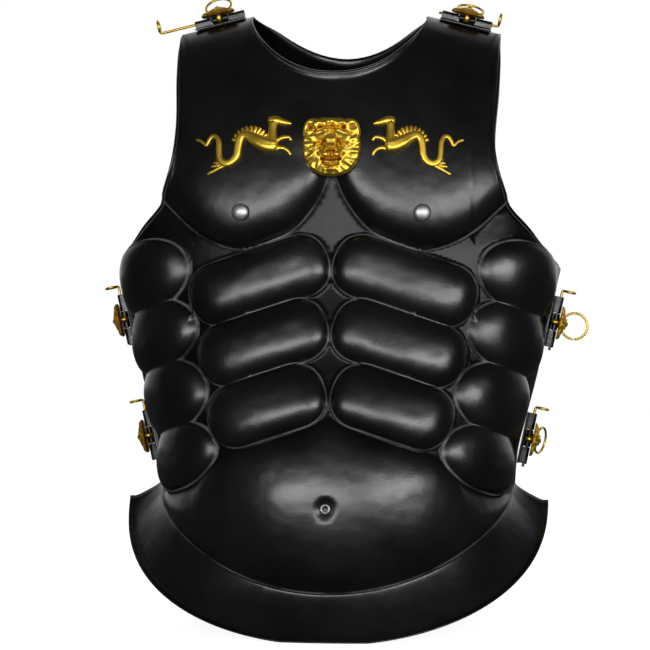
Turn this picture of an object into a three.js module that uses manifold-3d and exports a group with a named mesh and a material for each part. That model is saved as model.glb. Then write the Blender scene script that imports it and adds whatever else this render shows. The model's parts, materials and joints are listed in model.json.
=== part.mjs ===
// Muscle cuirass: a front plate and a back plate of sheet steel that stand on their
// flared skirts, joined on both shoulders and both flanks by six hinges.
//
// Millimetres, +Z up. The chest faces -Y, the wearer's right side is -X, and the
// origin lies on the floor below the middle of the whole object.

import * as THREE from 'three';
import { mergeVertices } from 'three/addons/utils/BufferGeometryUtils.js';
import Module from 'manifold-3d';

const wasm = await Module();
wasm.setup();

// ---------------------------------------------------------------- driving dimensions

const SHEET = 1.5; // wall of both plates
const SEAM_GAP = 1.0; // daylight between the front and back plate
const REST_GAP = 0.5; // clearance under a piece that follows a plate's curve
const SEAT_GAP = 1.2; // clearance under a piece with a flat back

const CHEST_LEVEL = 400; // above this height the torso turns in toward the shoulders
const SHOULDER_ARC = 208; // length of that turn, measured over the middle of the chest
const NECK_HALF = 82; // half width of the neck opening at the shoulder line
const NECK_CORNER_HEIGHT = 570;
const SHOULDER_SLOPE = 0.245;
const ARMHOLE_HALF = 150; // half width across the outer corners of the shoulders

const WAIST_SIDE_HEIGHT = 134; // where the waist crease meets the side seam
const WAIST_DROP = 93.5; // how far the crease dips to the middle of the body
const SKIRT_SIDE = { x: 197, z: 117 }; // outer corner of the skirt at the side seam
const SKIRT_DEPTH = { front: 165, back: 138 };
const SKIRT_FOOT_RISE = 2; // the skirt's edge is flat where its curve is lower than this
const SKIRT_LIP = 6; // turned-out edge of the skirt
const OPENING_LIP = { width: 7, height: 4 }; // turned-out edges of neck and armholes

// Cross-sections of the torso: half width at the side seam, depth before and behind it.
const SECTIONS = [
  { z: 20, halfWidth: 160, front: 138, back: 112 },
  { z: 60, halfWidth: 162, front: 143, back: 113 },
  { z: 100, halfWidth: 164, front: 146, back: 111 },
  { z: 134, halfWidth: 166, front: 144, back: 109 },
  { z: 165, halfWidth: 168.5, front: 138, back: 107 },
  { z: 200, halfWidth: 177, front: 128, back: 107 },
  { z: 240, halfWidth: 187, front: 117, back: 110 },
  { z: 280, halfWidth: 194.5, front: 108, back: 114 },
  { z: 320, halfWidth: 204, front: 101, back: 118 },
  { z: 345, halfWidth: 209.5, front: 98, back: 120.5 },
  { z: 375, halfWidth: 213, front: 97, back: 122 },
  { z: 400, halfWidth: 213, front: 97, back: 122 },
];

// Edge of the armhole from the shoulder's outer corner down to the side seam.
const ARMHOLE = [
  { x: 150, z: 553.3 },
  { x: 145.2, z: 505 },
  { x: 140.8, z: 458 },
  { x: 144, z: 421 },
  { x: 157, z: 391 },
  { x: 179.5, z: 366.5 },
  { x: 208.5, z: 334 },
];

// Lower edge of the chest muscle and upper edge of the belly, by distance from the middle.
const PECTORAL_EDGE = [
  { x: 0, z: 424 },
  { x: 8, z: 402 },
  { x: 18, z: 385 },
  { x: 34, z: 367 },
  { x: 56, z: 356 },
  { x: 80, z: 348.5 },
  { x: 104, z: 353 },
  { x: 128, z: 366 },
  { x: 150, z: 386 },
  { x: 175, z: 410 },
];
const BELLY_EDGE = [
  { x: 0, z: 197 },
  { x: 55, z: 176 },
  { x: 95, z: 163 },
  { x: 113, z: 148 },
  { x: 125, z: 133 },
  { x: 145, z: 125 },
  { x: 166, z: 126 },
];

// Rows of the stomach muscle and lobes down the flank. A lobe's turn is its angle round
// the torso, where 0 is the middle of the chest and 90 is the side seam.
const STOMACH_ROWS = [
  { x: 66.5, z: 321, halfLength: 67.5 },
  { x: 62, z: 264.5, halfLength: 62.5 },
  { x: 57, z: 207.5, halfLength: 56.5 },
];
const STOMACH = { halfHeight: 29.5, slope: 18.5, height: 12, roundness: 2.3 };
const FLANK_LOBES = [
  { turn: 60, z: 323, halfTurn: 20.5, halfHeight: 34 },
  { turn: 60, z: 268.5, halfTurn: 21, halfHeight: 33.5 },
  { turn: 58, z: 212.5, halfTurn: 20.5, halfHeight: 33.5 },
  { turn: 57, z: 159, halfTurn: 20.5, halfHeight: 30.5 },
];
const FLANK = { height: 11, tilt: 12, roundness: 2.2 };
const PILLOW = { flatness: 2.6, steepness: 0.6 }; // section of a swelling, edge to middle
const CHEST_RELIEF = { height: 16, edge: 10, fadeFrom: 360, fadeTo: 530 };
const BELLY_RELIEF = { height: 6, edge: 11 };
const BELLY_TUCK = { depth: 9, reach: 15 }; // where the belly turns in over the waist crease
const NAVEL = { z: 117, depth: 3, radius: 10 };
const SPINE = { depth: 5, width: 20, top: 500 };

const STUD = { x: 79.5, z: 382, radius: 8, height: 5 };
const NAVEL_RING = { outer: 4.5, hole: 2.7, height: 1.4 };

const BARREL = { radius: 3, bore: 1.65, halfLength: 24, middle: 7.9, gap: 0.35, offset: 6.4 };
const LEAF = { thickness: 1.2, near: 1.1, far: 17, web: 3.2 };
const PIN = { radius: 1.25, shaft: 57, showing: 6, bend: 1.5, eye: 5.2, gap: 50 };
const RING = { radius: 12.2, wire: 1.15, sunk: 0.75, split: 6, splitAt: -80 };
const HINGE_MASK = { back: 9.9, halfWidth: 15.5, halfHeight: 13, above: 5.5, depth: 7 };
const MOUTH = { front: -7.5, out: 13, radius: 4, halfLength: 5.2, bore: 2.75 };
const POST = { front: 9, radius: 2.4, clear: 0.9 };

const CHEST_LION = { x: 0, z: 440, halfWidth: 25.5, halfHeight: 26, depth: 13 };

// Hinges: eye is the end of the barrel where the pin's eye is, +1 along the barrel's own
// X axis; drawn is how far the pin is pulled out; lean is how far the ring tips back.
const HINGES = [
  { name: 'right_shoulder', side: -1, x: 113, eye: 1, drawn: 28, lean: 50 },
  { name: 'left_shoulder', side: 1, x: 117, eye: -1, drawn: 0, lean: 66 },
  { name: 'right_upper', side: -1, z: 286, eye: -1, drawn: 2, lean: 88 },
  { name: 'left_upper', side: 1, z: 286, eye: 1, drawn: 0, lean: 4 },
  { name: 'right_lower', side: -1, z: 177, eye: -1, drawn: 4, lean: 88 },
  { name: 'left_lower', side: 1, z: 177, eye: 1, drawn: 0, lean: 68 },
];

// Sea horse on the chest, from its breast out to the tip of its tail. x is the distance
// from the middle of the chest; width is the body's width there.
const SEA_HORSE_BODY = [
  { x: 53.5, z: 444.5, width: 12.5 },
  { x: 62, z: 446, width: 12 },
  { x: 70, z: 450.5, width: 10 },
  { x: 77.5, z: 454, width: 8 },
  { x: 84, z: 451, width: 7.2 },
  { x: 85.5, z: 443, width: 6.8 },
  { x: 86.5, z: 435.5, width: 6.5 },
  { x: 90.5, z: 430, width: 6 },
  { x: 95.5, z: 428, width: 5.6 },
  { x: 101, z: 430.5, width: 5.2 },
  { x: 104, z: 437, width: 4.8 },
  { x: 104.2, z: 445.5, width: 4.4 },
  { x: 106.3, z: 451, width: 4 },
  { x: 110, z: 452.7, width: 3.4 },
  { x: 113, z: 448.5, width: 3 },
  { x: 115, z: 444.5, width: 2.8 },
  { x: 119, z: 447, width: 2.4 },
  { x: 124.5, z: 448.7, width: 2.2 },
];
const SEA_HORSE_LIMBS = {
  neck: [
    { x: 54, z: 445, width: 11 },
    { x: 53.5, z: 456, width: 9 },
    { x: 54, z: 465.5, width: 8 },
  ],
  head: [
    { x: 55, z: 466, width: 8 },
    { x: 47, z: 465, width: 6.5 },
    { x: 38.5, z: 464.2, width: 3.6 },
  ],
  upper_foreleg: [
    { x: 53, z: 445, width: 5 },
    { x: 48, z: 449.5, width: 4 },
    { x: 41, z: 452.5, width: 3 },
    { x: 37, z: 450.5, width: 3.2 },
  ],
  lower_foreleg: [
    { x: 57, z: 441, width: 5 },
    { x: 49, z: 442, width: 4 },
    { x: 42, z: 441.5, width: 3 },
    { x: 36.5, z: 437.5, width: 3.2 },
  ],
  long_fin_ray: [
    { x: 96, z: 426.5, width: 4 },
    { x: 113.5, z: 420.5, width: 2.2 },
  ],
  short_fin_ray: [
    { x: 101, z: 428, width: 4 },
    { x: 109, z: 428.5, width: 2.6 },
  ],
};
// The left casting is a little shorter than the right one.
const SEA_HORSE = { nose: 37, drop: 2.8, squeeze: { right: 1, left: 0.92 } };
const SEA_HORSE_COMB = {
  x: 75, z: 449, inner: 6, outer: 14.5, from: 14, to: 162, ribs: 7, ribWidth: 2.6,
};
const LIMB_SECTION = [[-0.5, 0], [-0.38, 0.42], [0, 0.62], [0.38, 0.42], [0.5, 0]];

// A lion's face, in parts of its half width, half height and depth.
const LION_OUTLINE = {
  width: 0.95, height: 0.97, ear: 0.1, earAt: 0.72, earWidth: 0.16, tuft: 0.035, tufts: 12,
};
const LION_FACE = {
  mane: { edge: 0.3, swell: 0.35 },
  brow: { height: 0.2, at: 0.3, halfWidth: 0.5, halfHeight: 0.16 },
  nose: { height: 0.35, halfWidth: 0.2, top: 0.35, bridge: -0.2, tip: -0.35, lip: -0.6 },
  muzzle: { height: 0.3, at: -0.36, halfWidth: 0.36, halfHeight: 0.24 },
};

// ------------------------------------------------------------------------- materials

function steelBlack() {
  return new THREE.MeshStandardMaterial({ color: 0x17171a, roughness: 0.3, metalness: 0.6 });
}

function agedBrass() {
  return new THREE.MeshStandardMaterial({ color: 0xb8923a, roughness: 0.35, metalness: 1 });
}

function brightSteel() {
  return new THREE.MeshStandardMaterial({ color: 0xc9cacb, roughness: 0.3, metalness: 1 });
}

// --------------------------------------------------------------------- small numbers

function clamp(value, low, high) {
  return Math.min(high, Math.max(low, value));
}

function smoothStep(value, from, to) {
  const part = clamp((value - from) / (to - from), 0, 1);
  return part * part * (3 - 2 * part);
}

function radians(degrees) {
  return (degrees * Math.PI) / 180;
}

// Smooth curve through the rows of a table, read at one value of its key column.
function sample(rows, key, column, at) {
  const last = rows.length - 1;
  const value = clamp(at, rows[0][key], rows[last][key]);
  let i = 0;
  while (i < last - 1 && rows[i + 1][key] < value) i += 1;
  const slope = (j) => {
    const before = rows[Math.max(0, j - 1)];
    const after = rows[Math.min(last, j + 1)];
    return (after[column] - before[column]) / (after[key] - before[key]);
  };
  const span = rows[i + 1][key] - rows[i][key];
  const s = (value - rows[i][key]) / span;
  const start = rows[i][column] * (1 + 2 * s) * (1 - s) ** 2 + slope(i) * span * s * (1 - s) ** 2;
  const end = rows[i + 1][column] * (3 - 2 * s) * s * s + slope(i + 1) * span * (s - 1) * s * s;
  return start + end;
}

// ------------------------------------------------------------------ shape of the torso

// A point of the torso is named by turn, the angle round it in radians from the middle,
// and rise, the height measured along the surface. SIDES holds what differs front to back,
// with the grid of each plate: columns in one half of it, and rows above the waist.
const SIDES = {
  front: { sign: -1, depth: 'front', columns: { neck: 5, shoulder: 3, armhole: 8 }, rows: 22 },
  back: { sign: 1, depth: 'back', columns: { neck: 3, shoulder: 2, armhole: 5 }, rows: 12 },
};

function shoulderHeight(x) {
  return NECK_CORNER_HEIGHT - SHOULDER_SLOPE * (Math.abs(x) - NECK_HALF);
}

function torsoPoint(turn, rise, side) {
  const level = Math.min(rise, CHEST_LEVEL);
  const fold = (Math.max(0, rise - CHEST_LEVEL) / SHOULDER_ARC) * (Math.PI / 2);
  const x = sample(SECTIONS, 'z', 'halfWidth', level) * Math.sin(turn);
  const depth = sample(SECTIONS, 'z', side.depth, level);
  const y = side.sign * depth * Math.cos(turn) * Math.cos(fold);
  const z = level + (shoulderHeight(x) - CHEST_LEVEL) * Math.sin(fold);
  return new THREE.Vector3(x, y, z);
}

function riseAt(x, z) {
  if (z <= CHEST_LEVEL) return z;
  const part = (z - CHEST_LEVEL) / (shoulderHeight(x) - CHEST_LEVEL);
  return CHEST_LEVEL + (Math.asin(clamp(part, 0, 1)) / (Math.PI / 2)) * SHOULDER_ARC;
}

function turnAt(x, rise) {
  const halfWidth = sample(SECTIONS, 'z', 'halfWidth', Math.min(rise, CHEST_LEVEL));
  return Math.asin(clamp(x / halfWidth, -1, 1));
}

// Outward normal of a surface given as a function of turn and rise.
function surfaceNormal(surface, turn, rise, side) {
  const round = surface(turn + 0.004, rise).sub(surface(turn - 0.004, rise));
  const up = surface(turn, rise + 0.8).sub(surface(turn, rise - 0.8));
  return round.cross(up).multiplyScalar(-side.sign).normalize();
}

// -------------------------------------------------------------------------- the relief

const pectoralPoints = [];
for (let x = 0; x <= PECTORAL_EDGE.at(-1).x; x += 2.5) {
  pectoralPoints.push({ x, z: sample(PECTORAL_EDGE, 'x', 'z', x) });
}

// Height of a pillow whose edge is at distance 1.
function pillow(distance) {
  return distance < 1 ? (1 - distance ** PILLOW.flatness) ** PILLOW.steepness : 0;
}

// Distance from the middle of a rounded box, or of a circle where roundness is 2.
function superDistance(across, up, roundness) {
  return (Math.abs(across) ** roundness + Math.abs(up) ** roundness) ** (1 / roundness);
}

function stomachRelief(x, z) {
  const slope = radians(STOMACH.slope);
  let height = 0;
  for (const row of STOMACH_ROWS) {
    const along = (x - row.x) * Math.cos(slope) - (z - row.z) * Math.sin(slope);
    const across = (x - row.x) * Math.sin(slope) + (z - row.z) * Math.cos(slope);
    const beyond = Math.max(0, Math.abs(along) - (row.halfLength - STOMACH.halfHeight));
    const distance = superDistance(beyond, across, STOMACH.roundness) / STOMACH.halfHeight;
    height = Math.max(height, STOMACH.height * pillow(distance));
  }
  return height;
}

function flankRelief(turnDegrees, z) {
  let height = 0;
  for (const lobe of FLANK_LOBES) {
    const round = (turnDegrees - lobe.turn) / lobe.halfTurn;
    const up = (z - lobe.z + FLANK.tilt * round) / lobe.halfHeight;
    height = Math.max(height, FLANK.height * pillow(superDistance(round, up, FLANK.roundness)));
  }
  return height;
}

// Distance from a point to the lower edge of the chest muscle, or 0 below that edge.
function depthInsideChest(x, z) {
  if (z <= sample(PECTORAL_EDGE, 'x', 'z', x)) return 0;
  let nearest = Infinity;
  for (const edge of pectoralPoints) {
    nearest = Math.min(nearest, Math.hypot(x - edge.x, z - edge.z), Math.hypot(x + edge.x, z - edge.z));
  }
  return nearest;
}

function chestRelief(x, z) {
  const swell = 1 - Math.exp(-depthInsideChest(x, z) / CHEST_RELIEF.edge);
  return CHEST_RELIEF.height * swell * (1 - smoothStep(z, CHEST_RELIEF.fadeFrom, CHEST_RELIEF.fadeTo));
}

function bellyRelief(x, z) {
  const below = Math.max(0, sample(BELLY_EDGE, 'x', 'z', x) - z);
  const swell = BELLY_RELIEF.height * (1 - Math.exp(-below / BELLY_RELIEF.edge));
  const centre = Math.hypot(x, z - NAVEL.z) / NAVEL.radius;
  return swell - NAVEL.depth * Math.max(0, 1 - centre ** 2);
}

function frontRelief(point, turn) {
  const x = Math.abs(point.x);
  const muscle = Math.max(stomachRelief(x, point.z), flankRelief((Math.abs(turn) * 180) / Math.PI, point.z));
  const overCrease = Math.max(0, point.z - waistRise(turn));
  const tuck = BELLY_TUCK.depth * Math.cos(turn) * Math.exp(-overCrease / BELLY_TUCK.reach);
  return Math.max(muscle, chestRelief(x, point.z)) + bellyRelief(x, point.z) - tuck;
}

function backRelief(point) {
  const hollow = SPINE.depth * Math.exp(-((point.x / SPINE.width) ** 2));
  const fade = smoothStep(point.z, 90, 150) * (1 - smoothStep(point.z, SPINE.top - 60, SPINE.top));
  return -hollow * fade;
}

// A point on the plate's outer face, relief and all.
function platePoint(turn, rise, side) {
  const base = (t, r) => torsoPoint(t, r, side);
  const point = base(turn, rise);
  const relief = side.sign < 0 ? frontRelief(point, turn) : backRelief(point);
  return point.addScaledVector(surfaceNormal(base, turn, rise, side), relief);
}

// A point at a height over the chest, found by its distance across and up the front.
function overChest(x, z, height) {
  const rise = riseAt(x, z);
  const turn = turnAt(x, rise);
  const surface = (t, r) => platePoint(t, r, SIDES.front);
  return surface(turn, rise).addScaledVector(surfaceNormal(surface, turn, rise, SIDES.front), height);
}

// ------------------------------------------------------------------------- the plates

const SHOULDER_TURN = Math.asin(ARMHOLE_HALF / SECTIONS.at(-1).halfWidth);
const NECK_TURN = Math.asin(NECK_HALF / SECTIONS.at(-1).halfWidth);
const SHOULDER_RISE = CHEST_LEVEL + SHOULDER_ARC;

const NECKLINES = {
  front: { drop: 61.5, power: 0.625 },
  back: { drop: 33.5, power: 1.1 },
};

// Point of the armhole's edge at a part of its length.
const armholeCurve = new THREE.CatmullRomCurve3(
  ARMHOLE.map((row) => new THREE.Vector3(row.x, row.z, 0)),
);

// Turn and rise of a column's upper end: on the neckline, the shoulder or the armhole.
function columnTop(index, side) {
  const { neck, shoulder, armhole } = side.columns;
  if (index <= neck) {
    const x = NECK_HALF * Math.sin((Math.PI / 2) * (index / neck));
    const line = NECKLINES[side.depth];
    const z = shoulderHeight(NECK_HALF) - line.drop * (1 - (x / NECK_HALF) ** 2) ** line.power;
    const rise = index === neck ? SHOULDER_RISE : riseAt(x, z);
    return { turn: turnAt(x, rise), rise, lip: 1 - smoothStep(x, 60, NECK_HALF) };
  }
  const over = index - neck;
  if (over <= shoulder) {
    const turn = NECK_TURN + ((SHOULDER_TURN - NECK_TURN) * over) / shoulder;
    return { turn, rise: SHOULDER_RISE, lip: 0 };
  }
  const part = (over - shoulder) / armhole;
  const edge = armholeCurve.getPointAt(part);
  const rise = riseAt(edge.x, edge.y);
  const lip = smoothStep(part, 0, 0.25) * (1 - smoothStep(part, 0.75, 0.95));
  return { turn: part === 1 ? Math.PI / 2 : turnAt(edge.x, rise), rise, lip };
}

// How far the columns beside an armhole draw in at a rise, to follow its edge.
const PINCH = { depth: 0.075, start: 355, full: 422, release: 470, stop: 600 };

function pinch(rise) {
  const inward = smoothStep(rise, PINCH.start, PINCH.full);
  return 1 - PINCH.depth * inward * (1 - smoothStep(rise, PINCH.release, PINCH.stop));
}

function waistRise(turn) {
  return WAIST_SIDE_HEIGHT - WAIST_DROP * Math.max(0, Math.cos(turn)) ** 1.2;
}

function skirtEdge(turn, side) {
  const climb = (SKIRT_SIDE.z + SKIRT_FOOT_RISE) * (1 - Math.max(0, Math.cos(turn)) ** 0.85);
  const depth = SKIRT_DEPTH[side.depth];
  return new THREE.Vector3(
    SKIRT_SIDE.x * Math.sin(turn),
    side.sign * depth * Math.cos(turn),
    Math.max(0, climb - SKIRT_FOOT_RISE) + SHEET,
  );
}

// Level direction straight out of the skirt.
function skirtOutward(turn, side) {
  const across = Math.sin(turn) * SKIRT_DEPTH[side.depth];
  const out = side.sign * Math.cos(turn) * SKIRT_SIDE.x;
  return new THREE.Vector3(across, out, 0).normalize();
}

const SKIRT_STEPS = [0.25, 0.5, 0.75]; // rows between the crease and the turned-out lip

function halfColumns(side) {
  return side.columns.neck + side.columns.shoulder + side.columns.armhole;
}

// One column of the outer face, from the skirt's edge up to the top of the plate.
function plateColumn(index, side) {
  const half = Math.abs(index);
  const mirror = Math.sign(index) || 1;
  const top = columnTop(half, side);
  const bottomTurn = ((Math.PI / 2) * half) / halfColumns(side);
  const edge = skirtEdge(mirror * bottomTurn, side);
  const fold = edge.clone().addScaledVector(skirtOutward(mirror * bottomTurn, side), -SKIRT_LIP);
  const crease = platePoint(mirror * bottomTurn, waistRise(bottomTurn), side);
  const column = [edge, fold];
  for (const step of [...SKIRT_STEPS].reverse()) {
    const flare = step ** 1.3;
    column.push(new THREE.Vector3(
      THREE.MathUtils.lerp(crease.x, fold.x, flare),
      THREE.MathUtils.lerp(crease.y, fold.y, flare),
      THREE.MathUtils.lerp(crease.z, fold.z, step),
    ));
  }
  column.push(crease);
  const bottomRise = waistRise(bottomTurn);
  const lipPart = 1 - OPENING_LIP.width / (top.rise - bottomRise);
  const base = (t, r) => torsoPoint(t, r, side);
  for (let row = 1; row <= side.rows; row += 1) {
    const part = row < side.rows ? (lipPart * row) / (side.rows - 1) : 1;
    const rise = THREE.MathUtils.lerp(bottomRise, top.rise, part);
    const free = THREE.MathUtils.lerp(bottomTurn, top.turn, part);
    const pinched = THREE.MathUtils.lerp(bottomTurn, top.turn / pinch(top.rise), part) * pinch(rise);
    const bound = smoothStep(bottomTurn, NECK_TURN, SHOULDER_TURN);
    const turn = mirror * THREE.MathUtils.lerp(free, pinched, bound);
    const point = platePoint(turn, rise, side);
    if (row === side.rows) {
      point.addScaledVector(surfaceNormal(base, turn, rise, side), OPENING_LIP.height * top.lip);
    }
    column.push(point);
  }
  return column;
}

// Both plates are a grid of points, thickened inward along the grid's own normals.
function plateGeometry(side) {
  const columns = [];
  for (let index = -halfColumns(side); index <= halfColumns(side); index += 1) {
    columns.push(plateColumn(index, side));
  }
  const rows = columns[0].length;
  const outer = new THREE.BufferGeometry().setFromPoints(columns.flat());
  const sheet = [];
  const at = (column, row) => column * rows + row;
  for (let c = 0; c < columns.length - 1; c += 1) {
    for (let r = 0; r < rows - 1; r += 1) {
      sheet.push(at(c, r), at(c + 1, r), at(c + 1, r + 1));
      sheet.push(at(c, r), at(c + 1, r + 1), at(c, r + 1));
    }
  }
  if (side.sign > 0) sheet.reverse();
  outer.setIndex(sheet);
  outer.computeVertexNormals();

  const count = columns.length * rows;
  const position = outer.attributes.position;
  const normal = outer.attributes.normal;
  const points = [];
  for (let i = 0; i < count; i += 1) {
    points.push(new THREE.Vector3().fromBufferAttribute(position, i));
  }
  for (let i = 0; i < count; i += 1) {
    const inward = new THREE.Vector3().fromBufferAttribute(normal, i);
    if (i % rows < 2) inward.set(0, 0, 1);
    points.push(points[i].clone().addScaledVector(inward, -SHEET));
  }
  for (const point of points) {
    if (point.y * side.sign < SEAM_GAP / 2) point.y = (side.sign * SEAM_GAP) / 2;
  }

  const faces = [...sheet];
  for (let i = 0; i < sheet.length; i += 3) {
    faces.push(sheet[i] + count, sheet[i + 2] + count, sheet[i + 1] + count);
  }
  const rim = [];
  for (let c = 0; c < columns.length; c += 1) rim.push(at(c, 0));
  for (let r = 1; r < rows; r += 1) rim.push(at(columns.length - 1, r));
  for (let c = columns.length - 2; c >= 0; c -= 1) rim.push(at(c, rows - 1));
  for (let r = rows - 2; r > 0; r -= 1) rim.push(at(0, r));
  if (side.sign > 0) rim.reverse();
  rim.forEach((here, i) => {
    const next = rim[(i + 1) % rim.length];
    faces.push(here, here + count, next, next, here + count, next + count);
  });
  return indexedGeometry(points, faces);
}

// ------------------------------------------------------------------- general geometry

function indexedGeometry(points, faces) {
  const geometry = new THREE.BufferGeometry().setFromPoints(points);
  geometry.setIndex(faces);
  return geometry;
}

function toManifold(geometry) {
  const bare = geometry.clone();
  bare.deleteAttribute('normal');
  bare.deleteAttribute('uv');
  const merged = mergeVertices(bare, 1e-4);
  return new wasm.Manifold(new wasm.Mesh({
    numProp: 3,
    vertProperties: new Float32Array(merged.attributes.position.array),
    triVerts: new Uint32Array(merged.index.array),
  }));
}

function fromManifold(solid) {
  const mesh = solid.getMesh();
  const geometry = new THREE.BufferGeometry();
  geometry.setAttribute('position', new THREE.BufferAttribute(mesh.vertProperties, mesh.numProp));
  geometry.setIndex(new THREE.BufferAttribute(mesh.triVerts, 1));
  return geometry;
}

function united(geometries) {
  return geometries.map(toManifold).reduce((whole, piece) => whole.add(piece));
}

// Closed tube of a round wire through a list of points.
function wireGeometry(path, radius, sides, closed) {
  const points = [];
  const faces = [];
  const count = path.length;
  let across = null;
  path.forEach((centre, i) => {
    const before = path[closed ? (i + count - 1) % count : Math.max(0, i - 1)];
    const after = path[closed ? (i + 1) % count : Math.min(count - 1, i + 1)];
    const along = after.clone().sub(before).normalize();
    if (!across) across = new THREE.Vector3(0.31, 0.17, 0.94).cross(along);
    across.addScaledVector(along, -across.dot(along)).normalize();
    const other = along.clone().cross(across);
    for (let s = 0; s < sides; s += 1) {
      const angle = (2 * Math.PI * s) / sides;
      points.push(centre.clone()
        .addScaledVector(across, radius * Math.cos(angle))
        .addScaledVector(other, radius * Math.sin(angle)));
    }
  });
  const spans = closed ? count : count - 1;
  for (let i = 0; i < spans; i += 1) {
    for (let s = 0; s < sides; s += 1) {
      const a = i * sides + s;
      const b = i * sides + ((s + 1) % sides);
      const c = ((i + 1) % count) * sides + s;
      const d = ((i + 1) % count) * sides + ((s + 1) % sides);
      faces.push(a, b, c, c, b, d);
    }
  }
  if (!closed) {
    for (let s = 1; s < sides - 1; s += 1) {
      const end = (count - 1) * sides;
      faces.push(0, s + 1, s, end, end + s, end + s + 1);
    }
  }
  return indexedGeometry(points, faces);
}

// Tapered strip with a rounded back, laid along a table of x, z and width. The place
// function turns its flat coordinates into a point in space.
function limbGeometry(rows, steps, place) {
  const curve = new THREE.CatmullRomCurve3(
    rows.map((row) => new THREE.Vector3(row.x, row.z, row.width)), false, 'centripetal');
  const points = [];
  const faces = [];
  for (let i = 0; i <= steps; i += 1) {
    const here = curve.getPoint(i / steps);
    const along = curve.getTangent(i / steps);
    const length = Math.hypot(along.x, along.y);
    for (const [side, height] of LIMB_SECTION) {
      const shift = side * here.z;
      points.push(place(
        here.x + (along.y / length) * shift,
        here.y - (along.x / length) * shift,
        height * here.z,
      ));
    }
  }
  const sides = LIMB_SECTION.length;
  for (let i = 0; i < steps; i += 1) {
    for (let s = 0; s < sides; s += 1) {
      const a = i * sides + s;
      const b = i * sides + ((s + 1) % sides);
      faces.push(a, b, a + sides, a + sides, b, b + sides);
    }
  }
  for (let s = 1; s < sides - 1; s += 1) {
    const end = steps * sides;
    faces.push(0, s + 1, s, end, end + s, end + s + 1);
  }
  return indexedGeometry(points, faces);
}

// Turns a geometry's faces over where its placing mirrors it.
function outwardGeometry(geometry) {
  const solid = mergeVertices(geometry, 1e-5);
  const index = solid.index.array;
  const corner = [new THREE.Vector3(), new THREE.Vector3(), new THREE.Vector3()];
  let volume = 0;
  for (let i = 0; i < index.length; i += 3) {
    corner.forEach((point, k) => point.fromBufferAttribute(solid.attributes.position, index[i + k]));
    volume += corner[0].dot(corner[1].clone().cross(corner[2]));
  }
  if (volume < 0) index.reverse();
  return solid;
}

// Low relief on a flat back: rings of points from the outline in to the middle.
function reliefGeometry(outline, height, spokes, rings, place) {
  const points = [];
  const faces = [];
  for (let ring = 0; ring <= rings; ring += 1) {
    const scale = 1 - ring / (rings + 1);
    for (let spoke = 0; spoke < spokes; spoke += 1) {
      const angle = (2 * Math.PI * spoke) / spokes;
      const reach = outline(angle);
      const x = reach.x * scale;
      const y = reach.y * scale;
      points.push(place(x, y, height(x, y, scale)));
    }
  }
  const peak = points.push(place(0, 0, height(0, 0, 0))) - 1;
  const floor = points.length;
  for (let spoke = 0; spoke < spokes; spoke += 1) {
    const reach = outline((2 * Math.PI * spoke) / spokes);
    points.push(place(reach.x, reach.y, 0));
  }
  const middle = points.push(place(0, 0, 0)) - 1;
  for (let s = 0; s < spokes; s += 1) {
    const t = (s + 1) % spokes;
    for (let ring = 0; ring < rings; ring += 1) {
      const a = ring * spokes;
      faces.push(a + s, a + t, a + spokes + s, a + spokes + s, a + t, a + spokes + t);
    }
    faces.push(rings * spokes + s, rings * spokes + t, peak);
    faces.push(floor + s, floor + t, s, s, floor + t, t);
    faces.push(middle, floor + t, floor + s);
  }
  return indexedGeometry(points, faces);
}

// ------------------------------------------------------------------------- lion masks

// Outline of a lion's head: two ears, a full mane and a narrower chin below.
function lionOutline(angle, halfWidth, halfHeight) {
  const up = Math.sin(angle);
  const across = Math.cos(angle);
  const { width, height, ear, earAt, earWidth, tuft, tufts } = LION_OUTLINE;
  const ears = up > 0 ? ear * Math.exp(-(((Math.abs(across) - earAt) / earWidth) ** 2)) : 0;
  const reach = 1 + ears + tuft * Math.cos(tufts * angle);
  return { x: halfWidth * width * across * reach, y: halfHeight * height * up * reach };
}

// Height of the face over its back, in parts of its full depth.
function lionHeight(x, y, scale) {
  const { mane, nose } = LION_FACE;
  const hill = (part) => part.height
    * Math.exp(-((x / part.halfWidth) ** 2) - ((y - part.at) / part.halfHeight) ** 2);
  const ridge = nose.height * Math.exp(-((x / nose.halfWidth) ** 2))
    * smoothStep(-y, -nose.top, -nose.bridge) * smoothStep(y, nose.lip, nose.tip);
  return mane.edge + mane.swell * (1 - scale ** 2) + hill(LION_FACE.brow) + ridge + hill(LION_FACE.muzzle);
}

// Axes of a flat seat on the chest: Z straight out of the torso, raised so that a plane
// of the given half size clears the relief below it.
function flatSeat(seat) {
  const rise = riseAt(seat.x, seat.z);
  const turn = turnAt(seat.x, rise);
  const torso = (t, r) => torsoPoint(t, r, SIDES.front);
  const out = surfaceNormal(torso, turn, rise, SIDES.front);
  const up = new THREE.Vector3(0, 0, 1).addScaledVector(out, -out.z).normalize();
  const axes = new THREE.Matrix4().makeBasis(up.clone().cross(out), up, out);
  axes.setPosition(torso(turn, rise));
  const inverse = axes.clone().invert();
  let lift = 0;
  for (const across of [-1, -0.5, 0, 0.5, 1]) {
    for (const upward of [-1, -0.5, 0, 0.5, 1]) {
      const point = overChest(seat.x + across * seat.halfWidth, seat.z + upward * seat.halfHeight, 0);
      lift = Math.max(lift, point.applyMatrix4(inverse).z);
    }
  }
  return axes.multiply(new THREE.Matrix4().makeTranslation(0, 0, lift + SEAT_GAP));
}

function chestLion() {
  return reliefGeometry(
    (angle) => lionOutline(angle, CHEST_LION.halfWidth, CHEST_LION.halfHeight),
    (x, y, scale) => CHEST_LION.depth
      * lionHeight(x / CHEST_LION.halfWidth, y / CHEST_LION.halfHeight, scale),
    24, 5, (x, y, height) => new THREE.Vector3(x, y, height));
}

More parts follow.
